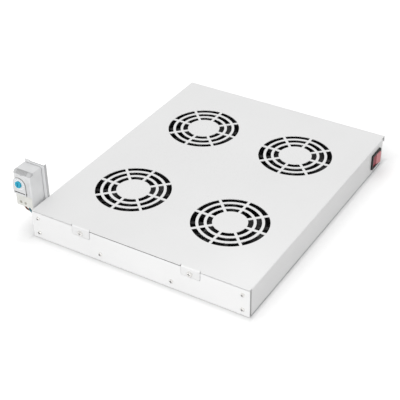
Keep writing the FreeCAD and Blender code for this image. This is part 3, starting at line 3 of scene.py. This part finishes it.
import bmesh
import bpy
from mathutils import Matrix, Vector


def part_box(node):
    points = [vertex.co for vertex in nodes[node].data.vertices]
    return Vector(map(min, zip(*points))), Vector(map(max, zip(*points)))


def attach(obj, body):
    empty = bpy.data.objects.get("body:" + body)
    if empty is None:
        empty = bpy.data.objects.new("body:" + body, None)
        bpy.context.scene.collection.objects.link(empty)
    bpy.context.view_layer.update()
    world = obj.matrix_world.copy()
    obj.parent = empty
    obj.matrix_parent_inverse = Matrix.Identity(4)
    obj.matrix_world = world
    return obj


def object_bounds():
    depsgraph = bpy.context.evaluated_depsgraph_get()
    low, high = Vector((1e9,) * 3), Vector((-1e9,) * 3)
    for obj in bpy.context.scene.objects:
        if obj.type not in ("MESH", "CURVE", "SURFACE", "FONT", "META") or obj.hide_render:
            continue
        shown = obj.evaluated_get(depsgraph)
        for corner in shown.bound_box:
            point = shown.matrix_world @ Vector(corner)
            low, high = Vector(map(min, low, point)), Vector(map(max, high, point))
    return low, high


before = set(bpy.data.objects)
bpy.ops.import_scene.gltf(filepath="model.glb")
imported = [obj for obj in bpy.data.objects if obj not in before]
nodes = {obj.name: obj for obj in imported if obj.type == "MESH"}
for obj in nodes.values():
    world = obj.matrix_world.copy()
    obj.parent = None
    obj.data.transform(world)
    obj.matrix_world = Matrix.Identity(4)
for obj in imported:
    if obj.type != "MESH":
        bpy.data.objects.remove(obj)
cad_low, cad_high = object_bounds()

MM = 0.001
FAR = 1.0  # metres, beyond every place on the tray
WHITE = (1, 1, 1, 1)
UP = Vector((0, 0, 1))
FRONT = Vector((0, -1, 0))
REAR = Vector((0, 1, 0))
LEFT = Vector((-1, 0, 0))


# ---------------------------------------------------------------- camera

# Fitted to the tray's corners, its grilles and the switch. Angles in degrees, sensor and lens in mm.
CAMERA_PLACE = (0.65074, -1.10064, 0.88609)
CAMERA_ANGLES = (55.0716, 0.7973, 31.1849)
SENSOR_WIDTH = 36
LENS = 93.64
NEAREST_SEEN = 0.01
FARTHEST_SEEN = 100


def make_camera():
    data = bpy.data.cameras.new("camera")
    camera = bpy.data.objects.new("camera", data)
    bpy.context.scene.collection.objects.link(camera)
    data.sensor_width = SENSOR_WIDTH
    data.lens = LENS
    data.clip_start = NEAREST_SEEN
    data.clip_end = FARTHEST_SEEN
    camera.location = CAMERA_PLACE
    camera.rotation_euler = [math.radians(angle) for angle in CAMERA_ANGLES]
    bpy.context.scene.camera = camera


# ---------------------------------------------------------------- helpers for node trees

def link(tree, start, end):
    tree.links.new(start, end)


def feed(tree, value, socket):
    """Give a socket a plain number, or link it to the output of another node."""
    if isinstance(value, (int, float)):
        socket.default_value = value
    else:
        link(tree, value, socket)


def math_node(tree, kind, first, second):
    node = tree.nodes.new("ShaderNodeMath")
    node.operation = kind
    feed(tree, first, node.inputs[0])
    feed(tree, second, node.inputs[1])
    return node.outputs[0]


def map_range(tree, value, from_low, from_high, to_low, to_high):
    """A value carried from one range to another and held at its ends."""
    node = tree.nodes.new("ShaderNodeMapRange")
    feed(tree, value, node.inputs["Value"])
    feed(tree, from_low, node.inputs["From Min"])
    feed(tree, from_high, node.inputs["From Max"])
    feed(tree, to_low, node.inputs["To Min"])
    feed(tree, to_high, node.inputs["To Max"])
    return node.outputs[0]


def split_place(tree, place):
    """The x, y and z outputs of a place."""
    split = tree.nodes.new("ShaderNodeSeparateXYZ")
    link(tree, place, split.inputs[0])
    return split.outputs


def seen_rays(tree):
    """1 for rays from the camera, mirrors and glass, 0 for light on the object."""
    path = tree.nodes.new("ShaderNodeLightPath")
    total = path.outputs["Is Camera Ray"]
    for name in ("Is Glossy Ray", "Is Transmission Ray"):
        total = math_node(tree, "MAXIMUM", total, path.outputs[name])
    return total


# ---------------------------------------------------------------- stage and light

# Strengths and shades, where 0 is black and 1 is white.
WORLD_LIGHT = 0.94
WORLD_SEEN = 1
FLOOR_SEEN = 0.97
FLOOR_BOUNCE = 0.44
# The floor's darker tone at the tray's foot is a painted contact shadow.
FLOOR_PAINTED_SHADOW = 0.78
GLOW_NEAR = 0.02
GLOW_FAR = 0.2

# Lengths on the floor, and how much sooner its shading fades beside the tray than in front of it.
FLOOR_HALF = 6
FLOOR_DROP = 0.2 * MM
# How far the painted contact shadow reaches from the tray.
PAINTED_SHADOW_REACH = 9 * MM
GLOW_START = 4 * MM
GLOW_END = 70 * MM
SIDE_FADE = 1.7

# The key lamp stands far in front, and a small one hangs over the front corner at the right.
KEY_PLACE = (0.45, -2.35, 0.5)
KEY_SIZE = 1.0
KEY_POWER = 18.5
CORNER_SIDE_INSET = 15 * MM
CORNER_FRONT_INSET = 10 * MM
CORNER_HEIGHT = 90 * MM
CORNER_SIZE = 60 * MM
CORNER_POWER = 0.007


def add_background(tree, strength):
    background = tree.nodes.new("ShaderNodeBackground")
    background.inputs["Color"].default_value = WHITE
    background.inputs["Strength"].default_value = strength
    return background.outputs[0]


def make_world():
    """White where it is seen, and a little less as light on the object."""
    world = bpy.data.worlds.new("studio")
    bpy.context.scene.world = world
    world.use_nodes = True
    tree = world.node_tree
    tree.nodes.clear()
    mix = tree.nodes.new("ShaderNodeMixShader")
    out = tree.nodes.new("ShaderNodeOutputWorld")
    link(tree, seen_rays(tree), mix.inputs[0])
    link(tree, add_background(tree, WORLD_LIGHT), mix.inputs[1])
    link(tree, add_background(tree, WORLD_SEEN), mix.inputs[2])
    link(tree, mix.outputs[0], out.inputs[0])


def distance_from_tray(tree):
    """How far a place on the floor lies outside the tray, with the sides counted as further."""
    place = tree.nodes.new("ShaderNodeNewGeometry").outputs["Position"]
    x, y = split_place(tree, place)[:2]
    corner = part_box("top_cover")[1]
    across = math_node(tree, "SUBTRACT", math_node(tree, "ABSOLUTE", x, 0), corner.x)
    across = math_node(tree, "MULTIPLY", across, SIDE_FADE)
    along = math_node(tree, "SUBTRACT", math_node(tree, "ABSOLUTE", y, 0), corner.y)
    return math_node(tree, "MAXIMUM", across, along)


def floor_material():
    """A matt white with a painted contact shadow where it meets the tray, and a little glow further out."""
    material = bpy.data.materials.new("floor")
    material.use_nodes = True
    tree = material.node_tree
    tree.nodes.clear()
    seen = seen_rays(tree)
    apart = distance_from_tray(tree)
    # Painted contact shadow: the floor that is seen gets darker close to the tray.
    painted_shadow = map_range(tree, apart, 0, PAINTED_SHADOW_REACH, FLOOR_PAINTED_SHADOW, FLOOR_SEEN)
    matt = tree.nodes.new("ShaderNodeBsdfDiffuse")
    link(tree, map_range(tree, seen, 0, 1, FLOOR_BOUNCE, painted_shadow), matt.inputs["Color"])
    glow = tree.nodes.new("ShaderNodeEmission")
    glow.inputs["Color"].default_value = WHITE
    spread = map_range(tree, apart, GLOW_START, GLOW_END, GLOW_NEAR, GLOW_FAR)
    link(tree, math_node(tree, "MULTIPLY", seen, spread), glow.inputs["Strength"])
    add = tree.nodes.new("ShaderNodeAddShader")
    out = tree.nodes.new("ShaderNodeOutputMaterial")
    link(tree, matt.outputs[0], add.inputs[0])
    link(tree, glow.outputs[0], add.inputs[1])
    link(tree, add.outputs[0], out.inputs["Surface"])
    return material


def make_floor():
    """A wide floor just under the tray."""
    mesh = bpy.data.meshes.new("floor")
    corners = [(-FLOOR_HALF, -FLOOR_HALF, 0), (FLOOR_HALF, -FLOOR_HALF, 0),
               (FLOOR_HALF, FLOOR_HALF, 0), (-FLOOR_HALF, FLOOR_HALF, 0)]
    mesh.from_pydata(corners, [], [(0, 1, 2, 3)])
    floor = bpy.data.objects.new("floor", mesh)
    floor.location.z = cad_low.z - FLOOR_DROP
    bpy.context.scene.collection.objects.link(floor)
    mesh.materials.append(floor_material())


def make_lamp(name, place, target, size, power):
    """A disk lamp of a size in metres and a power in watts, turned to its target."""
    data = bpy.data.lights.new(name, "AREA")
    data.shape = "DISK"
    data.size = size
    data.energy = power
    lamp = bpy.data.objects.new(name, data)
    lamp.location = place
    lamp.rotation_euler = (Vector(target) - Vector(place)).to_track_quat("-Z", "Y").to_euler()
    bpy.context.scene.collection.objects.link(lamp)


def make_lamps():
    make_lamp("key", KEY_PLACE, (0, 0, 0), KEY_SIZE, KEY_POWER)
    low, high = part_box("top_cover")
    x = high.x - CORNER_SIDE_INSET
    y = low.y + CORNER_FRONT_INSET
    make_lamp("corner", (x, y, high.z + CORNER_HEIGHT), (x, y, 0), CORNER_SIZE, CORNER_POWER)


# ---------------------------------------------------------------- finishes

SHEEN_SCALE = 2.3  # how much finer the sheen varies than the colour
BUMP_HEIGHT = 0.2 * MM
BEVEL_SAMPLES = 4


def noise(tree, coordinate, scale, detail=3.0, stretch=(1, 1, 1)):
    """Noise over a coordinate, made finer along each axis by the stretch."""
    mapping = tree.nodes.new("ShaderNodeMapping")
    mapping.inputs["Scale"].default_value = stretch
    link(tree, coordinate, mapping.inputs["Vector"])
    texture = tree.nodes.new("ShaderNodeTexNoise")
    texture.inputs["Scale"].default_value = scale
    texture.inputs["Detail"].default_value = detail
    link(tree, mapping.outputs[0], texture.inputs["Vector"])
    return texture.outputs[0]


def ramp(tree, factor, low, high, spread=(0.35, 0.65)):
    """Two colours, with the change between them over the spread of the factor."""
    node = tree.nodes.new("ShaderNodeValToRGB")
    for stop, position, colour in zip(node.color_ramp.elements, spread, (low, high)):
        stop.position = position
        stop.color = (*colour, 1)
    link(tree, factor, node.inputs[0])
    return node.outputs[0]


def inside_box(tree, place, low, high):
    """1 where a place lies between two corners, else 0."""
    inside = 1.0
    for part, lowest, highest in zip(split_place(tree, place), low, high):
        inside = math_node(tree, "MULTIPLY", inside, math_node(tree, "GREATER_THAN", part, lowest))
        inside = math_node(tree, "MULTIPLY", inside, math_node(tree, "LESS_THAN", part, highest))
    return inside


def inside_ball(tree, place, centre, radius):
    """1 where a place lies within a distance of a centre, else 0."""
    apart = tree.nodes.new("ShaderNodeVectorMath")
    apart.operation = "DISTANCE"
    link(tree, place, apart.inputs[0])
    apart.inputs[1].default_value = centre
    return math_node(tree, "LESS_THAN", apart.outputs["Value"], radius)


def mix_colours(tree, factor, first, second):
    """The first colour, or the second where the factor is 1."""
    node = tree.nodes.new("ShaderNodeMix")
    node.data_type = "RGBA"
    sockets = {socket.identifier: socket for socket in node.inputs}
    link(tree, factor, sockets["Factor_Float"])
    link(tree, first, sockets["A_Color"])
    sockets["B_Color"].default_value = (*second, 1)
    return next(socket for socket in node.outputs if socket.identifier == "Result_Color")


def finish(name, colour, rough, metal=0.0, patch=40, change=0.05, grain=900, depth=0.15, wear=0.06,
           stretch=(1, 1, 1), edge=0.3 * MM, specular=0.5, zones=()):
    """One procedural finish: colour patches, uneven sheen, grain, softened edges and zones, mostly painted
    shade and highlight.

    patch and grain are the scales of the colour noise and the bump noise. change is the share by which the
    colour varies, and the roughness varies by twice the wear. depth is the strength of the bump, and edge
    the radius of the soft edges. A zone is (test, first, second, colour), where the test takes the two
    values after the place.
    """
    material = bpy.data.materials.new(name)
    material.use_nodes = True
    tree = material.node_tree
    shader = next(node for node in tree.nodes if node.type == "BSDF_PRINCIPLED")
    shader.inputs["Metallic"].default_value = metal
    shader.inputs["Specular IOR Level"].default_value = specular
    place = tree.nodes.new("ShaderNodeTexCoord").outputs["Object"]
    low = [part * (1 - change) for part in colour]
    high = [min(1.0, part * (1 + change)) for part in colour]
    colour_and_painted_light = ramp(tree, noise(tree, place, patch), low, high)
    # The zones mix in their colours, mostly painted shade and painted highlight.
    for test, first, second, zone_colour in zones:
        colour_and_painted_light = mix_colours(tree, test(tree, place, first, second), colour_and_painted_light, zone_colour)
    link(tree, colour_and_painted_light, shader.inputs["Base Color"])
    smooth = [rough * (1 - wear * 2)] * 3
    coarse = [rough * (1 + wear * 2)] * 3
    sheen = ramp(tree, noise(tree, place, patch * SHEEN_SCALE, detail=4), smooth, coarse)
    link(tree, sheen, shader.inputs["Roughness"])
    bump = tree.nodes.new("ShaderNodeBump")
    bump.inputs["Strength"].default_value = depth
    bump.inputs["Distance"].default_value = BUMP_HEIGHT
    link(tree, noise(tree, place, grain, detail=2, stretch=stretch), bump.inputs["Height"])
    if edge:
        soft = tree.nodes.new("ShaderNodeBevel")
        soft.samples = BEVEL_SAMPLES
        soft.inputs["Radius"].default_value = edge
        link(tree, soft.outputs[0], bump.inputs["Normal"])
    link(tree, bump.outputs[0], shader.inputs["Normal"])
    return material


# ---------------------------------------------------------------- zones of the finishes, mostly painted shade and highlight

SKIN = 0.05 * MM  # how far from a face a zone starts, to take the face in or to leave it out

# Where shade is painted: the thermostat's nose and its slot, and the sloping roof with its vents; and the
# field round the dial.
NOSE_DEPTH = 7 * MM
NOSE_LINE = 1.4 * MM
SLOT_DROP = 14.3 * MM
SLOT_HALF = 1.2 * MM
SLOT_DEPTH = 1.7 * MM
ROOF_SLOPE = 3.5 * MM
ROOF_BAND = 8 * MM
VENT_REACH = 11 * MM
VENT_START = 0.5 * MM
VENT_HALF = 0.2 * MM
DIAL_FIELD = 9 * MM

# Where shade is painted: the cover's front seams, the top edge of the front panel, and the bracket's top
# edge, with the size of its raised corner.
SEAM_REACH = 3 * MM
SEAM_WALL = 2 * MM
SEAM_TOP = 2 * MM
PANEL_EDGE = 0.1 * MM
RAISED_WIDTH = 9 * MM
RAISED_HEIGHT = 1.4 * MM
EDGE_BAND = 0.9 * MM

# Painted shade on the thermostat: its roof band, its vents, the flank round its nose and its slot.
ROOF_PAINTED_SHADE = (0.50, 0.505, 0.51)
VENT_PAINTED_SHADE = (0.10, 0.10, 0.10)
NOSE_PAINTED_SHADE = (0.22, 0.22, 0.22)
SLOT_PAINTED_SHADE = (0.03, 0.03, 0.03)
FIELD_WHITE = (0.84, 0.85, 0.86)
# Painted shade in the cover's front seams.
SEAM_PAINTED_SHADE = (0.30, 0.30, 0.30)
# Painted shade on the front panel's top edge under the cover.
GAP_PAINTED_SHADE = (0.12, 0.12, 0.12)
# Painted shade on the bracket's outer flange and top edge.
BRACKET_PAINTED_SHADE = (0.48, 0.485, 0.49)
# A painted highlight on the rocker's rear half.
RED_PAINTED_HIGHLIGHT = (0.62, 0.26, 0.27)


def thermostat_zones():
    """Painted shade on the roof band, in the vents, along the flank round the nose and in its slot, and the
    pale field of the dial.
    """
    low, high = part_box("thermostat_housing")
    dial_low, dial_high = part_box("thermostat_dial")
    centre = (dial_low + dial_high) / 2
    middle = (low.x + high.x) / 2
    face = low.y + NOSE_DEPTH
    band_end = face + ROOF_BAND
    eaves = high.z - ROOF_SLOPE
    slot = centre.z - SLOT_DROP
    return [
        # Painted shade: the roof band, the vents, the nose's flank and the slot are darkened.
        (inside_box, (-FAR, -FAR, eaves), (FAR, band_end, FAR), ROOF_PAINTED_SHADE),
        (inside_box, (middle - VENT_REACH, face + VENT_START, eaves - VENT_HALF),
         (middle + VENT_REACH, band_end, eaves + VENT_HALF), VENT_PAINTED_SHADE),
        (inside_box, (-FAR, low.y + SKIN, -FAR), (FAR, low.y + NOSE_LINE, FAR), NOSE_PAINTED_SHADE),
        (inside_box, (-FAR, low.y + SKIN, slot - SLOT_HALF), (FAR, low.y + SLOT_DEPTH, slot + SLOT_HALF),
         SLOT_PAINTED_SHADE),
        (inside_ball, (centre.x, low.y, centre.z), DIAL_FIELD, FIELD_WHITE)]


def cover_painted_shade():
    """Painted shade in the seams between the front panel and the cover's side walls."""
    low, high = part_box("top_cover")
    end = low.y + SEAM_REACH
    top = high.z - SEAM_TOP
    return [
        (inside_box, (high.x - SEAM_WALL, -FAR, -FAR), (FAR, end, top), SEAM_PAINTED_SHADE),
        (inside_box, (-FAR, -FAR, -FAR), (low.x + SEAM_WALL, end, top), SEAM_PAINTED_SHADE)]


def panel_painted_shade():
    """Painted shade on the front panel's top edge, in the gap under the cover between the tabs."""
    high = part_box("front_panel")[1]
    left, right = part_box("tab_screws")
    return [(inside_box, (left.x, -FAR, high.z - PANEL_EDGE), (right.x, FAR, FAR), GAP_PAINTED_SHADE)]


def bracket_painted_shade():
    """Painted shade on the bracket's outer flange and along its top edge."""
    low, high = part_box("thermostat_bracket")
    band = high.z - RAISED_HEIGHT - EDGE_BAND
    return [
        (inside_box, (high.x - SKIN, -FAR, -FAR), (FAR, FAR, FAR), BRACKET_PAINTED_SHADE),
        (inside_box, (low.x + RAISED_WIDTH, -FAR, band), (FAR, FAR, FAR), BRACKET_PAINTED_SHADE)]


def rocker_painted_highlight():
    """A painted highlight: the rocker's half towards the rear is paler."""
    low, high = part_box("switch_housing")
    return [(inside_box, (-FAR, (low.y + high.y) / 2, -FAR), (FAR, FAR, FAR), RED_PAINTED_HIGHLIGHT)]


# ---------------------------------------------------------------- the finishes and their nodes

PAINT = dict(rough=0.42, patch=9, change=0.012, grain=2200, depth=0.10, wear=0.05, edge=0.4 * MM)
MOULDED_EDGE = 0.5 * MM

# How much finer the grain is along x, y and z.
SHEET_GRAIN = (1, 12, 1)
TURNED_GRAIN = (1, 1, 10)
WINDING_GRAIN = (1, 1, 8)


def metal_finishes():
    return {
        "shell": finish("shell_paint", (0.80, 0.80, 0.80), zones=cover_painted_shade(), **PAINT),
        "panel": finish("panel_paint", (0.86, 0.86, 0.86), zones=panel_painted_shade(), **PAINT),
        "bracket": finish("bracket_paint", (0.66, 0.665, 0.67), zones=bracket_painted_shade(), **PAINT),
        "cast": finish("fan_casting", (0.014, 0.014, 0.015), rough=0.5, patch=60, change=0.2, grain=1500,
                       depth=0.25, specular=0.25),
        "zinc": finish("zinc_sheet", (0.60, 0.61, 0.62), rough=0.38, metal=0.9, patch=25, change=0.08,
                       grain=300, stretch=SHEET_GRAIN, depth=0.2),
        "steel": finish("turned_steel", (0.58, 0.58, 0.59), rough=0.25, metal=1, patch=120, change=0.06,
                        grain=600, stretch=TURNED_GRAIN, depth=0.1),
        "copper": finish("stator_windings", (0.35, 0.12, 0.05), rough=0.4, patch=200, change=0.3, grain=500,
                         depth=0.5, stretch=WINDING_GRAIN),
        "screw": finish("screw_zinc", (0.78, 0.77, 0.75), rough=0.2, metal=1, patch=200, change=0.08,
                        grain=700, depth=0.15),
        "brass": finish("brass", (0.55, 0.49, 0.38), rough=0.32, metal=1, patch=150, change=0.1, grain=700,
                        depth=0.2),
    }


def plastic_finishes():
    return {
        "blade": finish("fan_plastic", (0.024, 0.024, 0.026), rough=0.34, patch=70, change=0.2, grain=1200,
                        depth=0.1, specular=0.4),
        "switch": finish("switch_black", (0.008, 0.008, 0.007), rough=0.5, patch=90, change=0.15,
                         grain=1800, depth=0.3, specular=0.3),
        "rocker": finish("rocker_red", (0.24, 0.008, 0.022), rough=0.35, patch=60, change=0.12, grain=400,
                         depth=0.05, specular=0.22, zones=rocker_painted_highlight()),
        "strip": finish("strip_white", (0.76, 0.76, 0.70), rough=0.45, patch=60, change=0.05, grain=1500,
                        depth=0.2),
        "housing": finish("thermostat_grey", (0.71, 0.715, 0.72), rough=0.5, patch=50, change=0.03,
                          grain=2600, depth=0.35, edge=MOULDED_EDGE, zones=thermostat_zones()),
        "dial": finish("dial_blue", (0.008, 0.37, 0.55), rough=0.4, patch=140, change=0.12, grain=1500,
                       depth=0.15),
        "cream": finish("terminal_cream", (0.73, 0.73, 0.69), rough=0.5, patch=70, change=0.04, grain=2200,
                        depth=0.3, edge=MOULDED_EDGE),
        "rubber": finish("rubber_black", (0.018, 0.018, 0.018), rough=0.7, patch=120, change=0.25,
                         grain=1300, depth=0.35),
        "brown": finish("wire_brown", (0.17, 0.055, 0.025), rough=0.35, patch=180, change=0.15, grain=900,
                        depth=0.1),
        "blue": finish("wire_blue", (0.01, 0.15, 0.19), rough=0.35, patch=180, change=0.15, grain=900,
                       depth=0.1),
        # Dark for the printed dial scale, and as painted shade for the screws' cross recesses.
        "ink_and_recess_shade": finish("print_and_recess_shade", (0.05, 0.05, 0.055), rough=0.6, patch=150, change=0.3, grain=1200,
                      depth=0.1, edge=0),
    }


FINISH_BY_NODE = {
    "top_cover": "shell", "front_panel": "panel", "base_tray": "zinc", "switch_housing": "switch",
    "switch_rocker": "rocker", "switch_terminals": "brass", "inlet_socket": "switch", "inlet_pins": "brass",
    "terminal_strip": "strip", "terminal_strip_screws": "brass", "thermostat_housing": "housing",
    "thermostat_latch": "housing", "thermostat_dial": "dial", "thermostat_terminals": "cream",
    "thermostat_terminal_screws": "brass", "thermostat_rail": "zinc", "thermostat_bracket": "bracket",
    "thermostat_wire_brown": "brown", "thermostat_wire_blue": "blue", "fan_studs": "screw",
    "wire_grommet": "rubber"}
FINISH_BY_ENDING = {
    "_frame": "cast", "_rotor": "blade", "_shaft": "steel", "_bearings": "steel", "_stator": "copper",
    "_lead": "rubber", "_screws": "screw", "_nuts": "steel"}


def finish_of(node):
    """The key of the finish that a CAD node gets, by its name or else by the end of its name."""
    if node in FINISH_BY_NODE:
        return FINISH_BY_NODE[node]
    return next(key for ending, key in FINISH_BY_ENDING.items() if node.endswith(ending))


def dress_nodes(finishes):
    """Every CAD node gets its finish."""
    for name, thing in nodes.items():
        material = finishes[finish_of(name)]
        if not thing.material_slots:
            thing.data.materials.append(material)
        for place in thing.material_slots:
            place.material = material


# ---------------------------------------------------------------- pieces that the scene adds

SAME_PLACE = 1e-7  # metres, vertices closer than this are one

# A mark rises a hair above its face and reaches a little into it.
MARK_RISE = 0.01 * MM
MARK_DEPTH = 0.3 * MM

# The cross recess, painted as shade with a dark flat cross, as shares of the screw head's radius: how far
# it reaches, and half the width of an arm.
CROSS_REACH = 0.62
CROSS_ARM = 0.17
SLIM_CROSS_ARM = CROSS_ARM / 2
SCREW_FACES = {"front_panel_screws": FRONT, "tab_screws": FRONT, "rear_wall_screws": REAR,
               "inlet_screws": REAR, "bracket_screws": LEFT}

# The strokes round the dial, from one end of its travel to the other. Angles in degrees from straight up.
SCALE_STROKES = 11
SCALE_START = -135
SCALE_TRAVEL = 270
SCALE_INNER = 6.7 * MM
SCALE_OUTER = 8.3 * MM
STROKE_HALF = 0.22 * MM


def solids_of(node):
    """The (lowest, highest) corners of each separate solid in a CAD node."""
    mesh = bmesh.new()
    mesh.from_mesh(nodes[node].data)
    bmesh.ops.remove_doubles(mesh, verts=mesh.verts, dist=SAME_PLACE)
    waiting = set(mesh.verts)
    boxes = []
    while waiting:
        reached = [waiting.pop()]
        found = []
        while reached:
            vertex = reached.pop()
            found.append(vertex.co.copy())
            for edge in vertex.link_edges:
                other = edge.other_vert(vertex)
                if other in waiting:
                    waiting.remove(other)
                    reached.append(other)
        low = Vector([min(place[axis] for place in found) for axis in range(3)])
        high = Vector([max(place[axis] for place in found) for axis in range(3)])
        boxes.append((low, high))
    mesh.free()
    return sorted(boxes, key=lambda corners: tuple(corners[0]))


def add_mark(mesh, outline, centre, up, outward):
    """A thin flat prism on a face. Its outline is in (right, up) lengths from the centre."""
    right = up.cross(outward)
    rings = []
    for level in (MARK_RISE - MARK_DEPTH, MARK_RISE):
        rings.append([mesh.verts.new(centre + right * x + up * y + outward * level) for x, y in outline])
    bottom, top = rings
    mesh.faces.new(top)
    mesh.faces.new(list(reversed(bottom)))
    for i in range(len(outline)):
        following = (i + 1) % len(outline)
        mesh.faces.new((bottom[i], bottom[following], top[following], top[i]))


def finish_piece(name, mesh, material):
    """Turn a bmesh into a piece that rides on the tray."""
    bmesh.ops.recalc_face_normals(mesh, faces=mesh.faces)
    data = bpy.data.meshes.new(name)
    mesh.to_mesh(data)
    mesh.free()
    data.materials.append(material)
    piece = bpy.data.objects.new(name, data)
    bpy.context.scene.collection.objects.link(piece)
    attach(piece, "tray")


def cross_outline(reach, half_arm):
    """A plus sign, anticlockwise."""
    arm = [(reach, -half_arm), (reach, half_arm), (half_arm, half_arm)]
    outline = []
    for turn in range(4):
        outline += arm
        arm = [(-y, x) for x, y in arm]
    return outline


def make_recess_shade(material):
    """Painted shade in the cross recess of every screw head that shows, as a dark flat cross, one piece for
    each node of screws.
    """
    for node, outward in SCREW_FACES.items():
        arm_share = SLIM_CROSS_ARM if node == "tab_screws" else CROSS_ARM
        mesh = bmesh.new()
        for low, high in solids_of(node):
            half = (high - low) / 2
            crown = (low + high) / 2 + outward * abs(half.dot(outward))
            radius = half.z
            add_mark(mesh, cross_outline(radius * CROSS_REACH, radius * arm_share), crown, UP, outward)
        finish_piece(f"{node}_recess_shade", mesh, material)


def make_dial_scale(material):
    """The printed strokes round the thermostat's dial."""
    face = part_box("thermostat_housing")[0].y
    dial_low, dial_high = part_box("thermostat_dial")
    centre = (dial_low + dial_high) / 2
    centre.y = face
    stroke = [(-STROKE_HALF, SCALE_INNER), (STROKE_HALF, SCALE_INNER), (STROKE_HALF, SCALE_OUTER),
              (-STROKE_HALF, SCALE_OUTER)]
    mesh = bmesh.new()
    for step in range(SCALE_STROKES):
        angle = math.radians(SCALE_START + SCALE_TRAVEL * step / (SCALE_STROKES - 1))
        up = Vector((math.sin(angle), 0, math.cos(angle)))
        add_mark(mesh, stroke, centre, up, FRONT)
    finish_piece("dial_scale", mesh, material)


make_camera()
make_world()
make_floor()
make_lamps()
finishes = {**metal_finishes(), **plastic_finishes()}
dress_nodes(finishes)
# Painted shade for the screws' cross recesses.
make_recess_shade(finishes["ink_and_recess_shade"])
make_dial_scale(finishes["ink_and_recess_shade"])
bpy.context.scene.view_settings.view_transform = "Standard"
